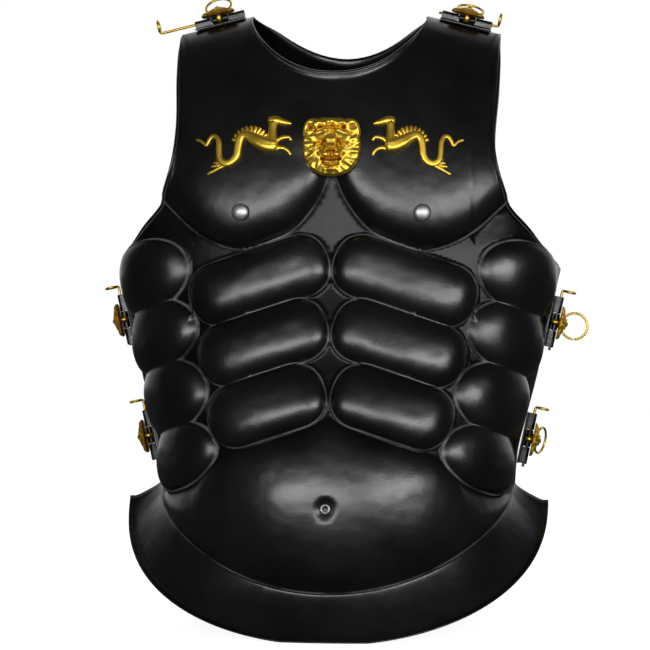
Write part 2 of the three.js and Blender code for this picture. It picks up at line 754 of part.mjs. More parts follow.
// The small mask stands off the hinge on a post and holds its ring in a bored mouth.
function hingeMask(leafTop) {
  const place = (x, y, height) => new THREE.Vector3(
    x, HINGE_MASK.above + y, HINGE_MASK.back + height);
  const face = reliefGeometry(
    (angle) => ({
      x: HINGE_MASK.halfWidth * Math.cos(angle) * (1 + 0.04 * Math.cos(6 * angle)),
      y: HINGE_MASK.halfHeight * Math.sin(angle),
    }),
    (x, y, scale) => HINGE_MASK.depth
      * lionHeight(x / HINGE_MASK.halfWidth, y / HINGE_MASK.halfHeight, scale),
    12, 2, place);
  const housing = new THREE.CylinderGeometry(MOUTH.radius, MOUTH.radius, 2 * MOUTH.halfLength, 8);
  housing.rotateZ(Math.PI / 2).translate(0, MOUTH.front, MOUTH.out);
  const foot = leafTop + POST.clear;
  const post = new THREE.CylinderGeometry(POST.radius, POST.radius, HINGE_MASK.back + 1 - foot, 8);
  post.rotateX(Math.PI / 2).translate(0, POST.front, (HINGE_MASK.back + 1 + foot) / 2);
  const bore = new THREE.CylinderGeometry(MOUTH.bore, MOUTH.bore, 4 * MOUTH.halfLength, 8);
  bore.rotateZ(Math.PI / 2).translate(0, MOUTH.front, MOUTH.out);
  return fromManifold(united([outwardGeometry(face), housing, post]).subtract(toManifold(bore)));
}

// ------------------------------------------------------------------------- sea horses

function seaHorse(mirror, squeeze) {
  const place = (x, z, height) => {
    const across = SEA_HORSE.nose + (x - SEA_HORSE.nose) * squeeze;
    return overChest(mirror * across, z - SEA_HORSE.drop, REST_GAP + height);
  };
  const pieces = [limbGeometry(SEA_HORSE_BODY, 18, place)];
  for (const rows of Object.values(SEA_HORSE_LIMBS)) {
    pieces.push(limbGeometry(rows, rows.length - 1, place));
  }
  const comb = SEA_HORSE_COMB;
  for (let rib = 0; rib < comb.ribs; rib += 1) {
    const angle = radians(THREE.MathUtils.lerp(comb.from, comb.to, rib / (comb.ribs - 1)));
    const reach = (radius) => ({
      x: comb.x + radius * Math.cos(angle),
      z: comb.z + radius * Math.sin(angle),
      width: comb.ribWidth,
    });
    pieces.push(limbGeometry([reach(comb.inner), reach(comb.outer)], 1, place));
  }
  return fromManifold(united(pieces.map(outwardGeometry)));
}

// ------------------------------------------------------------- studs and the navel ring

function studGeometry() {
  const { radius, height } = STUD;
  const profile = [
    [0, 0],
    [radius, 0],
    [radius, 0.3 * height],
    [0.72 * radius, 0.8 * height],
    [0, height],
  ];
  return turnedGeometry(profile);
}

// Turned about Z from a profile of radius and height.
function turnedGeometry(profile) {
  const outline = profile.map(([radius, height]) => new THREE.Vector2(radius, height));
  return new THREE.LatheGeometry(outline, 10).rotateX(Math.PI / 2);
}

function navelRingGeometry() {
  const { outer, hole, height } = NAVEL_RING;
  const profile = [[hole, 0], [outer, 0], [outer, height], [hole, height], [hole, 0]];
  return turnedGeometry(profile);
}

// --------------------------------------------------------------------------- hinges

// Each hinge has its own axes: X along the barrel, Y toward the front plate and Z straight
// out, with the origin on the seam under the middle of the barrel.
function hingeAxes(hinge) {
  const seamPoint = (along) => {
    if (hinge.x) {
      const x = hinge.side * (hinge.x + along);
      return new THREE.Vector3(x, 0, shoulderHeight(x));
    }
    return torsoPoint(hinge.side * (Math.PI / 2), hinge.z + along, SIDES.front).setY(0);
  };
  const low = seamPoint(-BARREL.halfLength);
  const high = seamPoint(BARREL.halfLength);
  const toFront = new THREE.Vector3(0, -1, 0);
  const along = high.clone().sub(low).normalize();
  const out = along.clone().cross(toFront);
  const outward = hinge.x ? out.z : out.x * hinge.side;
  if (outward < 0) {
    along.negate();
    out.negate();
  }
  const axes = new THREE.Matrix4().makeBasis(along, toFront, out);
  return axes.setPosition(low.add(high).multiplyScalar(0.5));
}

// Height of a plate over the hinge's own origin plane, at a distance from the seam.
function plateLift(hinge, axes, side, distance) {
  const inverse = axes.clone().invert();
  let lift = -Infinity;
  for (let step = -2; step <= 2; step += 1) {
    const along = (step * BARREL.halfLength) / 2;
    let point = null;
    if (hinge.x) {
      const turn = hinge.side * Math.asin((hinge.x + along) / SECTIONS.at(-1).halfWidth);
      const depth = SECTIONS.at(-1)[side.depth] * Math.cos(turn);
      const fold = Math.acos(clamp(distance / depth, 0, 1)) / (Math.PI / 2);
      point = platePoint(turn, CHEST_LEVEL + SHOULDER_ARC * fold, side);
    } else {
      const rise = hinge.z + along;
      const turn = Math.PI / 2 - distance / sample(SECTIONS, 'z', side.depth, rise);
      point = platePoint(hinge.side * turn, rise, side);
    }
    lift = Math.max(lift, point.applyMatrix4(inverse).z);
  }
  return lift;
}

// The underside of a leaf is the line that clears the plate all the way to its far edge.
function leafLine(hinge, axes, side) {
  const near = plateLift(hinge, axes, side, LEAF.near);
  const far = plateLift(hinge, axes, side, LEAF.far);
  const line = (distance) => THREE.MathUtils.mapLinear(distance, LEAF.near, LEAF.far, near, far);
  let clear = 0;
  for (let distance = LEAF.near; distance <= LEAF.far; distance += 2) {
    clear = Math.max(clear, plateLift(hinge, axes, side, distance) - line(distance));
  }
  return (distance) => line(distance) + clear + SEAT_GAP;
}

function boxBetween(low, high) {
  const box = new THREE.BoxGeometry(high[0] - low[0], high[1] - low[1], high[2] - low[2]);
  return box.translate((low[0] + high[0]) / 2, (low[1] + high[1]) / 2, (low[2] + high[2]) / 2);
}

// A leaf lies on its plate and carries knuckles: two on the front leaf, one on the back.
function leafGeometry(underside, side) {
  const toward = -side.sign;
  const leaf = boxBetween([-BARREL.halfLength, 0, 0], [BARREL.halfLength, 1, LEAF.thickness]);
  const corners = leaf.attributes.position;
  for (let i = 0; i < corners.count; i += 1) {
    const distance = corners.getY(i) < 0.5 ? LEAF.near : LEAF.far;
    corners.setXYZ(i, corners.getX(i), toward * distance, corners.getZ(i) + underside(distance));
  }
  const ends = side.sign < 0
    ? [[-BARREL.halfLength, -BARREL.middle - BARREL.gap], [BARREL.middle + BARREL.gap, BARREL.halfLength]]
    : [[-BARREL.middle, BARREL.middle]];
  const pieces = [outwardGeometry(leaf)];
  for (const [from, to] of ends) {
    const knuckle = new THREE.CylinderGeometry(BARREL.radius, BARREL.radius, to - from, 8);
    knuckle.rotateZ(Math.PI / 2).translate((from + to) / 2, 0, BARREL.offset);
    const web = boxBetween(
      [from, Math.min(toward * LEAF.near, toward * LEAF.web), underside(LEAF.near) + 0.2],
      [to, Math.max(toward * LEAF.near, toward * LEAF.web), BARREL.offset]);
    pieces.push(knuckle, web);
  }
  const bore = new THREE.CylinderGeometry(BARREL.bore, BARREL.bore, 3 * BARREL.halfLength, 8);
  bore.rotateZ(Math.PI / 2).translate(0, 0, BARREL.offset);
  return fromManifold(united(pieces).subtract(toManifold(bore)));
}

// A straight wire shaft whose end turns out into an eye.
function pinGeometry(hinge) {
  const end = hinge.eye * (BARREL.halfLength + PIN.showing + hinge.drawn);
  const lift = BARREL.offset;
  const path = [
    new THREE.Vector3(end - hinge.eye * PIN.shaft, 0, lift),
    new THREE.Vector3(end - hinge.eye * PIN.bend, 0, lift),
  ];
  const steps = 10;
  for (let step = 0; step <= steps; step += 1) {
    const angle = radians(-90 + ((360 - PIN.gap) * step) / steps);
    path.push(new THREE.Vector3(
      end,
      PIN.eye * Math.cos(angle),
      lift + PIN.bend + PIN.eye * (1 + Math.sin(angle)),
    ));
  }
  return wireGeometry(path, PIN.radius, 5, false);
}

// A split ring, hanging from the origin and standing up along Z.
function ringGeometry() {
  const path = [];
  const steps = 14;
  for (let step = 0; step <= steps; step += 1) {
    const angle = radians(RING.splitAt + RING.split / 2 + ((360 - RING.split) * step) / steps);
    path.push(new THREE.Vector3(
      RING.radius * Math.sin(angle),
      0,
      RING.radius - RING.sunk + RING.radius * Math.cos(angle),
    ));
  }
  return wireGeometry(path, RING.wire, 5, false);
}

function namedMesh(name, geometry, material) {
  const solid = outwardGeometry(geometry);
  solid.deleteAttribute('normal');
  solid.deleteAttribute('uv');
  solid.computeVertexNormals();
  const mesh = new THREE.Mesh(solid, material);
  mesh.name = name;
  return mesh;
}

function hingeGroup(hinge) {
  const group = new THREE.Group();
  group.name = `hinge_${hinge.name}`;
  const axes = hingeAxes(hinge);
  const frontLine = leafLine(hinge, axes, SIDES.front);
  const backLine = leafLine(hinge, axes, SIDES.back);
  const ring = namedMesh(`ring_${hinge.name}`, ringGeometry(), agedBrass());
  ring.position.set(0, MOUTH.front, MOUTH.out);
  ring.rotation.x = radians(hinge.lean);
  group.add(
    namedMesh(`front_leaf_${hinge.name}`, leafGeometry(frontLine, SIDES.front), steelBlack()),
    namedMesh(`back_leaf_${hinge.name}`, leafGeometry(backLine, SIDES.back), steelBlack()),
    namedMesh(`lion_${hinge.name}`, hingeMask(frontLine(POST.front) + LEAF.thickness), agedBrass()),
    namedMesh(`pin_${hinge.name}`, pinGeometry(hinge), agedBrass()),
    ring,
  );
  group.applyMatrix4(axes);
  return group;
}

// ------------------------------------------------------------------------- the object

function seated(mesh, seat) {
  mesh.applyMatrix4(flatSeat(seat));
  return mesh;
}

const cuirass = new THREE.Group();
cuirass.name = 'muscle_cuirass';
cuirass.add(
  namedMesh('front_plate', plateGeometry(SIDES.front), steelBlack()),
  namedMesh('back_plate', plateGeometry(SIDES.back), steelBlack()),
  seated(namedMesh('chest_lion', chestLion(), agedBrass()), CHEST_LION),
  seated(namedMesh('navel_ring', navelRingGeometry(), agedBrass()), {
    x: 0, z: NAVEL.z, halfWidth: NAVEL_RING.outer, halfHeight: NAVEL_RING.outer,
  }),
);
for (const [wearer, mirror] of [['right', -1], ['left', 1]]) {
  cuirass.add(namedMesh(`sea_horse_${wearer}`, seaHorse(mirror, SEA_HORSE.squeeze[wearer]), agedBrass()));
  cuirass.add(seated(namedMesh(`stud_${wearer}`, studGeometry(), brightSteel()), {
    x: mirror * STUD.x, z: STUD.z, halfWidth: STUD.radius, halfHeight: STUD.radius,
  }));
}
for (const hinge of HINGES) {
  cuirass.add(hingeGroup(hinge));
}

// The origin goes to the middle of the object's footprint.
const extent = new THREE.Box3().setFromObject(cuirass, true);
const middle = extent.getCenter(new THREE.Vector3());
cuirass.position.set(-middle.x, -middle.y, -extent.min.z);
cuirass.updateMatrixWorld(true);

export default cuirass;
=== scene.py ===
"""Looks of the muscle cuirass: painted steel plates, cast brass fittings, studio."""
import json
import math

import bmesh
import bpy
import numpy as np
from mathutils import Matrix, Vector


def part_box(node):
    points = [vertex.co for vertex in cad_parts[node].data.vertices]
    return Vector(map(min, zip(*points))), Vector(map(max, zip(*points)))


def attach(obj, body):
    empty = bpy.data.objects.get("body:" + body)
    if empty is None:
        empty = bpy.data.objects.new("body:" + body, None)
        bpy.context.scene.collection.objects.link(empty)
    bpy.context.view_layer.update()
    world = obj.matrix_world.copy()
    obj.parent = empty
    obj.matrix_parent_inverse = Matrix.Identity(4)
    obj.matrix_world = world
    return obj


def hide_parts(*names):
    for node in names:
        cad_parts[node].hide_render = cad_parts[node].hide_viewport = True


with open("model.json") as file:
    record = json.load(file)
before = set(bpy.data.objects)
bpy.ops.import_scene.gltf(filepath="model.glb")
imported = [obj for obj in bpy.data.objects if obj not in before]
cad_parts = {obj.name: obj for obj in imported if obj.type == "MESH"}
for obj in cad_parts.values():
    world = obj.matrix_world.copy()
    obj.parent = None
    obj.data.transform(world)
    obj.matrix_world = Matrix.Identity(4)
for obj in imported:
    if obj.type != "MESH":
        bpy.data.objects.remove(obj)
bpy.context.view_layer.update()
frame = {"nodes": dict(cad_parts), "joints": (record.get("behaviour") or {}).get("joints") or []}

MM = 0.001

# ---- sizes of the torso
# All sizes below are millimetres in the torso's own axes: the seam lies in the plane
# y = 0 and the middle of the chest in the plane x = 0.

SHEET = 1.5
SEAM_GAP = 1.0
SEAT_GAP = 1.2
CHEST_LEVEL = 400.0
SHOULDER_ARC = 208.0
NECK_HALF = 82.0
NECK_CORNER_HEIGHT = 570.0
SHOULDER_SLOPE = 0.245
ARMHOLE_HALF = 150.0
WAIST_SIDE_HEIGHT = 134.0
WAIST_DROP = 93.5
WAIST_ROUNDNESS = 1.2
SKIRT_SIDE = (197.0, 117.0)
SKIRT_DEPTH = {"front": 165.0, "back": 138.0}
SKIRT_FOOT_RISE = 2.0
SKIRT_LIP = 6.0
SKIRT_EDGE_ROWS = (0.0, 1.2, 3.0, 5.2)  # how far in from the edge
SKIRT_ROUNDNESS = 0.85
SKIRT_FLARE = 1.3
OPENING_LIP = (7.0, 4.0)  # width and height of the turned edge round an opening
NECK_LIP_END = 60.0
ARMHOLE_LIP_ENDS = ((0.0, 0.25), (0.75, 0.95))
NECKLINES = {"front": (61.5, 0.625), "back": (33.5, 1.1)}
SIGN = {"front": -1.0, "back": 1.0}

# height, half width, depth in front, depth behind
SECTIONS = (
    (20, 160, 138, 112),
    (60, 162, 143, 113),
    (100, 164, 146, 111),
    (134, 166, 144, 109),
    (165, 168.5, 138, 107),
    (200, 177, 128, 107),
    (240, 187, 117, 110),
    (280, 194.5, 108, 114),
    (320, 204, 101, 118),
    (345, 209.5, 98, 120.5),
    (375, 213, 97, 122),
    (400, 213, 97, 122),
)
TOP_HALF_WIDTH = SECTIONS[-1][1]

# distance from the middle, height
ARMHOLE = (
    (150, 553.3), (145.2, 505), (140.8, 458), (144, 421), (157, 391), (179.5, 366.5), (208.5, 334),
)
PECTORAL_EDGE = (
    (0, 424), (8, 402), (18, 385), (34, 367), (56, 356),
    (80, 348.5), (104, 353), (128, 366), (150, 386), (175, 410),
)
BELLY_EDGE = ((0, 197), (55, 176), (95, 163), (113, 148), (125, 133), (145, 125), (166, 126))

# distance from the middle, height, half length
STOMACH_ROWS = ((66.5, 321, 67.5), (62, 264.5, 62.5), (57, 207.5, 56.5))
STOMACH_HALF_HEIGHT = 29.5
STOMACH_SLOPE = math.radians(18.5)
STOMACH_SWELL = 12.0
STOMACH_ROUNDNESS = 2.3
# turn from the middle in degrees, height, half turn, half height
FLANK_LOBES = (
    (60, 323, 20.5, 34), (60, 268.5, 21, 33.5), (58, 212.5, 20.5, 33.5), (57, 159, 20.5, 30.5),
)
FLANK_SWELL = 11.0
FLANK_TILT = 12.0
FLANK_ROUNDNESS = 2.2
PILLOW = (2.6, 0.6)  # flatness of a swelling's top and steepness of its edge
KEEL = (3.0, 42.0)  # height and reach of the ridge down the middle of the chest
KEEL_START = (425.0, 455.0)
CHEST_SWELL = 16.0
CHEST_EDGE = 10.0
CHEST_FADE = (360.0, 530.0)
BELLY_SWELL = 6.0
BELLY_EDGE_WIDTH = 11.0
BELLY_TUCK = (9.0, 15.0)  # depth and reach of the belly's turn in over the waist crease
NAVEL_HEIGHT = 117.0
NAVEL_DEPTH = 3.0
NAVEL_RADIUS = 10.0
SPINE = (5.0, 20.0)  # depth and half width of the hollow down the back
SPINE_ENDS = ((90.0, 150.0), (440.0, 500.0))


# ---- small formulas

def smooth_step(value, start, stop):
    part = np.clip((value - start) / (stop - start), 0.0, 1.0)
    return part * part * (3.0 - 2.0 * part)


def smooth_curve(rows, column):
    """The smooth curve through a table's first column and another one."""
    keys = np.array([row[0] for row in rows], dtype=float)
    values = np.array([row[column] for row in rows], dtype=float)
    slopes = np.gradient(values)
    slopes[1:-1] = (values[2:] - values[:-2]) / (keys[2:] - keys[:-2])
    slopes[0] = (values[1] - values[0]) / (keys[1] - keys[0])
    slopes[-1] = (values[-1] - values[-2]) / (keys[-1] - keys[-2])

    def read(at):
        at = np.clip(at, keys[0], keys[-1])
        i = np.clip(np.searchsorted(keys, at, side="left") - 1, 0, len(keys) - 2)
        span = keys[i + 1] - keys[i]
        s = (at - keys[i]) / span
        start = values[i] * (1 + 2 * s) * (1 - s) ** 2 + slopes[i] * span * s * (1 - s) ** 2
        end = values[i + 1] * (3 - 2 * s) * s * s + slopes[i + 1] * span * (s - 1) * s * s
        return start + end

    return read


def smooth_path(rows, steps):
    """Points along a smooth curve through the rows of a table."""
    corners = np.array(rows, dtype=float)
    padded = np.vstack([2 * corners[0] - corners[1], corners, 2 * corners[-1] - corners[-2]])
    points = []
    for i in range(len(corners) - 1):
        before, start, end, after = padded[i:i + 4]
        s = np.linspace(0, 1, steps, endpoint=False)[:, None]
        points.append(0.5 * (2 * start + (end - before) * s
                             + (2 * before - 5 * start + 4 * end - after) * s ** 2
                             + (3 * start - before - 3 * end + after) * s ** 3))
    return np.vstack(points + [corners[-1:]])


half_width = smooth_curve(SECTIONS, 1)
depth_of = {"front": smooth_curve(SECTIONS, 2), "back": smooth_curve(SECTIONS, 3)}
pectoral_edge = smooth_curve(PECTORAL_EDGE, 1)
belly_edge = smooth_curve(BELLY_EDGE, 1)


# ---- torso shape

def shoulder_height(x):
    return NECK_CORNER_HEIGHT - SHOULDER_SLOPE * (np.abs(x) - NECK_HALF)


def torso_points(turn, rise, side):
    level = np.minimum(rise, CHEST_LEVEL)
    fold = np.maximum(0.0, rise - CHEST_LEVEL) / SHOULDER_ARC * (math.pi / 2)
    x = half_width(level) * np.sin(turn)
    y = SIGN[side] * depth_of[side](level) * np.cos(turn) * np.cos(fold)
    z = level + (shoulder_height(x) - CHEST_LEVEL) * np.sin(fold)
    return np.stack([x, y, z], axis=-1)


def rise_at(x, z):
    part = np.clip((z - CHEST_LEVEL) / (shoulder_height(x) - CHEST_LEVEL), 0.0, 1.0)
    over = np.arcsin(part) / (math.pi / 2) * SHOULDER_ARC
    return np.where(z <= CHEST_LEVEL, z, CHEST_LEVEL + over)


def turn_at(x, rise):
    return np.arcsin(np.clip(x / half_width(np.minimum(rise, CHEST_LEVEL)), -1.0, 1.0))


TURN_STEP, RISE_STEP = 0.004, 0.8


def normals_of(surface, turn, rise, side):
    """Outward normals of a surface given as a function of turn and rise."""
    across = surface(turn + TURN_STEP, rise) - surface(turn - TURN_STEP, rise)
    up = surface(turn, rise + RISE_STEP) - surface(turn, rise - RISE_STEP)
    normal = np.cross(across, up) * -SIGN[side]
    return normal / np.linalg.norm(normal, axis=-1, keepdims=True)


# ---- relief

FAR = 90.0  # a distance at which no painted highlight line shows
LINE_INSET = 0.6  # how far inside a muscle's outline its painted highlight line runs
BLEND = 0.9  # how far one muscle runs into the next
BLEND_FADE = 2.0
CHEST_HOLLOW = (-1.0, 3.0)  # where the hollow under the chest muscles begins


def pillow(distance):
    flatness, steepness = PILLOW
    return (1.0 - np.minimum(distance, 1.0) ** flatness) ** steepness


def super_distance(across, up, roundness):
    return (np.abs(across) ** roundness + np.abs(up) ** roundness) ** (1 / roundness)


def merged(*heights):
    """The highest of several reliefs, with the crease between them eased."""
    top = np.maximum.reduce(heights)
    return top + BLEND * np.log(sum(np.exp((height - top) / BLEND) for height in heights)) \
        - BLEND * math.log(len(heights)) * np.exp(-top / BLEND_FADE)


def stomach_distances(x, z):
    """Millimetres from each stomach muscle's middle line, with the ends rounded."""
    distances = []
    for row_x, row_z, half_length in STOMACH_ROWS:
        along = (x - row_x) * math.cos(STOMACH_SLOPE) - (z - row_z) * math.sin(STOMACH_SLOPE)
        across = (x - row_x) * math.sin(STOMACH_SLOPE) + (z - row_z) * math.cos(STOMACH_SLOPE)
        beyond = np.maximum(0.0, np.abs(along) - (half_length - STOMACH_HALF_HEIGHT))
        distances.append(super_distance(beyond, across, STOMACH_ROUNDNESS))
    return distances


def flank_reaches(turn, z):
    """Distance from the middle of each flank lobe, in parts of the lobe's half size."""
    reaches = []
    for lobe_turn, lobe_z, half_turn, half_height in FLANK_LOBES:
        across = (np.degrees(turn) - lobe_turn) / half_turn
        up = (z - lobe_z + FLANK_TILT * across) / half_height
        reaches.append(super_distance(across, up, FLANK_ROUNDNESS))
    return reaches


def muscle_reliefs(x, z, turn):
    """Heights of the stomach muscles and the flank lobes, each on its own."""
    stomach = [STOMACH_SWELL * pillow(d / STOMACH_HALF_HEIGHT) for d in stomach_distances(x, z)]
    return stomach + [FLANK_SWELL * pillow(reach) for reach in flank_reaches(turn, z)]


def chest_distance(x, z):
    """Signed distance to the chest muscles' lower edge, more than zero over it."""
    edge_x = np.arange(0.0, PECTORAL_EDGE[-1][0] + 0.1, 4.0)
    edge_z = pectoral_edge(edge_x)
    nearest = np.full(np.shape(x), FAR)
    for i in range(len(edge_x) - 1):
        run, climb = edge_x[i + 1] - edge_x[i], edge_z[i + 1] - edge_z[i]
        along = ((x - edge_x[i]) * run + (z - edge_z[i]) * climb) / (run ** 2 + climb ** 2)
        along = np.clip(along, 0.0, 1.0)
        away = np.hypot(x - edge_x[i] - along * run, z - edge_z[i] - along * climb)
        nearest = np.minimum(nearest, away)
    return nearest * np.where(z > pectoral_edge(x), 1.0, -1.0)


def chest_relief(x, z):
    inside = np.maximum(0.0, chest_distance(x, z))
    fade = 1.0 - smooth_step(z, *CHEST_FADE)
    return CHEST_SWELL * (1.0 - np.exp(-inside / CHEST_EDGE)) * fade


def belly_relief(x, z):
    below = np.maximum(0.0, belly_edge(x) - z)
    swell = BELLY_SWELL * (1.0 - np.exp(-below / BELLY_EDGE_WIDTH))
    reach = np.hypot(x, z - NAVEL_HEIGHT) / NAVEL_RADIUS
    return swell - NAVEL_DEPTH * np.maximum(0.0, 1.0 - reach ** 2)


def front_relief(points, turn):
    x = np.abs(points[..., 0])
    z = points[..., 2]
    muscles = muscle_reliefs(x, z, np.abs(turn))
    height, reach = KEEL
    keel = height * np.exp(-x / reach) * smooth_step(z, *KEEL_START)
    depth, length = BELLY_TUCK
    tuck = depth * np.cos(turn) * np.exp(-np.maximum(0.0, z - waist_rise(turn)) / length)
    return merged(*muscles, chest_relief(x, z)) + belly_relief(x, z) + keel - tuck


def back_relief(points):
    z = points[..., 2]
    depth, width = SPINE
    foot, head = SPINE_ENDS
    hollow = depth * np.exp(-((points[..., 0] / width) ** 2))
    fade = smooth_step(z, *foot) * (1.0 - smooth_step(z, *head))
    return -hollow * fade


# distances to the painted highlight lines along the creases and rims, and the hollow depth that
# sets the painted shade
def painted_light_marks(points, turn, side):
    """The values of MARKS at points of a plate's face, all but the last."""
    x = np.abs(points[..., 0])
    z = points[..., 2]
    turn = np.abs(turn)
    waist = z - waist_rise(turn)
    if side == "back":
        far = np.full(np.shape(x), FAR)
        return [far, far, waist, np.zeros_like(far)]
    muscles = [distance - STOMACH_HALF_HEIGHT for distance in stomach_distances(x, z)]
    for reach, (_, _, _, half_height) in zip(flank_reaches(turn, z), FLANK_LOBES):
        muscles.append((reach - 1.0) * half_height)
    chest = chest_distance(x, z)
    swell = np.maximum.reduce(muscle_reliefs(x, z, turn) + [belly_relief(x, z)])
    # how deep in a hollow: the paint shines less there, as painted shade
    hollow = np.clip(1.0 - swell / HOLLOW_DEPTH, 0.0, 1.0) * smooth_step(-chest, *CHEST_HOLLOW)
    return [np.minimum.reduce(muscles) + LINE_INSET, chest, waist, hollow]


def plate_points(turn, rise, side):
    """Points of a plate's outer face, relief and all."""
    base = lambda t, r: torso_points(t, r, side)
    points = base(turn, rise)
    relief = front_relief(points, turn) if side == "front" else back_relief(points)
    return points + normals_of(base, turn, rise, side) * relief[..., None]


def over_chest(x, z, height):
    """Points at a height over the front plate, by distance across and height."""
    x = np.asarray(x, dtype=float)
    z = np.asarray(z, dtype=float)
    rise = rise_at(x, z)
    turn = turn_at(x, rise)
    surface = lambda t, r: plate_points(t, r, "front")
    away = normals_of(surface, turn, rise, "front") * np.asarray(height)[..., None]
    return surface(turn, rise) + away


# ---- place in the frame

front_low, front_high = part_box("front_plate")
ORIGIN = np.array([
    (front_low[0] + front_high[0]) / 2,
    front_high[1] + SEAM_GAP / 2 * MM,
    0.0,
])


def to_frame(points):
    """Millimetres in the torso's axes to metres in the frame."""
    return np.asarray(points) * MM + ORIGIN


def matrix_to_frame(axes):
    """A matrix in the torso's millimetres as one in the frame's metres."""
    placed = Matrix.Scale(MM, 4) @ axes
    placed.translation = Vector(ORIGIN) + axes.translation * MM
    return placed


# ---- mesh utilities

def finished(mesh_builder, name, material, body, replaces):
    """Turns a bmesh into a piece of the object."""
    mesh = bpy.data.meshes.new(name)
    mesh_builder.to_mesh(mesh)
    mesh_builder.free()
    mesh.shade_smooth()
    mesh.materials.append(material)
    piece = bpy.data.objects.new(name, mesh)
    bpy.context.scene.collection.objects.link(piece)
    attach(piece, body)
    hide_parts(*replaces)
    return piece


def move_vertices(builder, places):
    for vertex, place in zip(builder.verts, places):
        vertex.co = place


# ---- the plates

SHOULDER_TURN = math.asin(ARMHOLE_HALF / TOP_HALF_WIDTH)
NECK_TURN = math.asin(NECK_HALF / TOP_HALF_WIDTH)
SHOULDER_RISE = CHEST_LEVEL + SHOULDER_ARC
COLUMN_GAP = math.radians(0.07)  # the least turn between columns beside an armhole
PINCH = (0.25, 150.0, 425.0)  # how far the columns fan out, and the rises where they bend and hold


def armhole_point(part):
    """Points along the armhole's edge, by part of its length."""
    fine = smooth_path(ARMHOLE, 40)
    run = np.concatenate([[0], np.cumsum(np.linalg.norm(np.diff(fine, axis=0), axis=1))])
    at = np.asarray(part) * run[-1]
    return np.interp(at, run, fine[:, 0]), np.interp(at, run, fine[:, 1])


def pinch(rise):
    """How far the columns beside an armhole draw in at a rise, to follow its edge."""
    spread, start, full = PINCH
    held = np.maximum(rise, full)
    fanned = SHOULDER_TURN * (1.0 + spread * (SHOULDER_RISE - held) / SHOULDER_ARC)
    return 1.0 - (1.0 - armhole_turn(held) / fanned) * smooth_step(rise, start, full)


def armhole_turn(rise):
    """Turn of the armhole's edge at a rise."""
    edge_x, edge_z = armhole_point(np.linspace(1, 0, 200))
    edge_rise = rise_at(edge_x, edge_z)
    edge_turn = turn_at(edge_x, edge_rise)
    return np.where(rise <= edge_rise[0], math.pi / 2, np.interp(rise, edge_rise, edge_turn))


def column_tops(side, counts):
    """Turn, rise and lip at the top of each column of half a plate."""
    neck, shoulder, armhole = counts
    x = NECK_HALF * np.sin(math.pi / 2 * np.arange(neck) / neck)
    drop, power = NECKLINES[side]
    z = NECK_CORNER_HEIGHT - drop * (1 - (x / NECK_HALF) ** 2) ** power
    rise = rise_at(x, z)
    turn = turn_at(x, rise)
    lip = 1 - smooth_step(x, NECK_LIP_END, NECK_HALF)
    over = np.arange(shoulder) / shoulder
    shoulder_turn = NECK_TURN + (SHOULDER_TURN - NECK_TURN) * over
    part = np.arange(armhole + 1) / armhole
    edge_x, edge_z = armhole_point(part)
    edge_rise = rise_at(edge_x, edge_z)
    edge_turn = turn_at(edge_x, edge_rise)
    edge_turn[-1] = math.pi / 2
    begin, end = ARMHOLE_LIP_ENDS
    edge_lip = smooth_step(part, *begin) * (1 - smooth_step(part, *end))
    return (
        np.concatenate([turn, shoulder_turn, edge_turn]),
        np.concatenate([rise, np.full(shoulder, SHOULDER_RISE), edge_rise]),
        np.concatenate([lip, np.zeros(shoulder), edge_lip]),
    )


def waist_rise(turn):
    return WAIST_SIDE_HEIGHT - WAIST_DROP * np.maximum(0.0, np.cos(turn)) ** WAIST_ROUNDNESS


def skirt_rows(turn, crease, side, steps):
    """Rows of points from the skirt's turned edge up to just under the crease."""
    half, top = SKIRT_SIDE
    depth = SKIRT_DEPTH[side]
    climb = (top + SKIRT_FOOT_RISE) * (1 - np.maximum(0.0, np.cos(turn)) ** SKIRT_ROUNDNESS)
    edge = np.stack([
        half * np.sin(turn),
        SIGN[side] * depth * np.cos(turn),
        np.maximum(0.0, climb - SKIRT_FOOT_RISE) + SHEET,
    ], axis=-1)
    outward = np.stack([
        np.sin(turn) * depth,
        SIGN[side] * np.cos(turn) * half,
        np.zeros_like(turn),
    ], axis=-1)
    outward /= np.linalg.norm(outward, axis=-1, keepdims=True)
    fold = edge - outward * SKIRT_LIP
    rows = [edge - outward * inset for inset in SKIRT_EDGE_ROWS]
    for part in 1 - np.arange(1, steps) / steps:
        flare = part ** SKIRT_FLARE
        rows.append(crease + (fold - crease) * np.array([flare, flare, part]))
    return rows


# signed millimetres to each kind of painted highlight line along the creases and rims, and from 0
# to 1 how deep in a hollow, which sets the painted shade there
MARKS = ("muscle_line", "chest_line", "waist_line", "hollow", "rim_line")
HOLLOW_DEPTH = 5.0  # a relief of less than this lies in the hollow, which gets painted shade
RIM_INSET = 2.2  # how far inside an opening its painted highlight line runs


# Rows lie closer together over the muscles than on the smooth belly and upper chest.
MUSCLE_ROWS = 1.9  # how many more rows the muscles have
MUSCLE_RISES = ((100.0, 160.0), (390.0, 440.0))
RISES = np.linspace(0.0, SHOULDER_RISE + 1.0, 1500)
OVER_MUSCLES = smooth_step(RISES, *MUSCLE_RISES[0]) * (1.0 - smooth_step(RISES, *MUSCLE_RISES[1]))
ROW_DENSITY = 1.0 + MUSCLE_ROWS * OVER_MUSCLES
ROW_COUNT = np.cumsum(ROW_DENSITY)


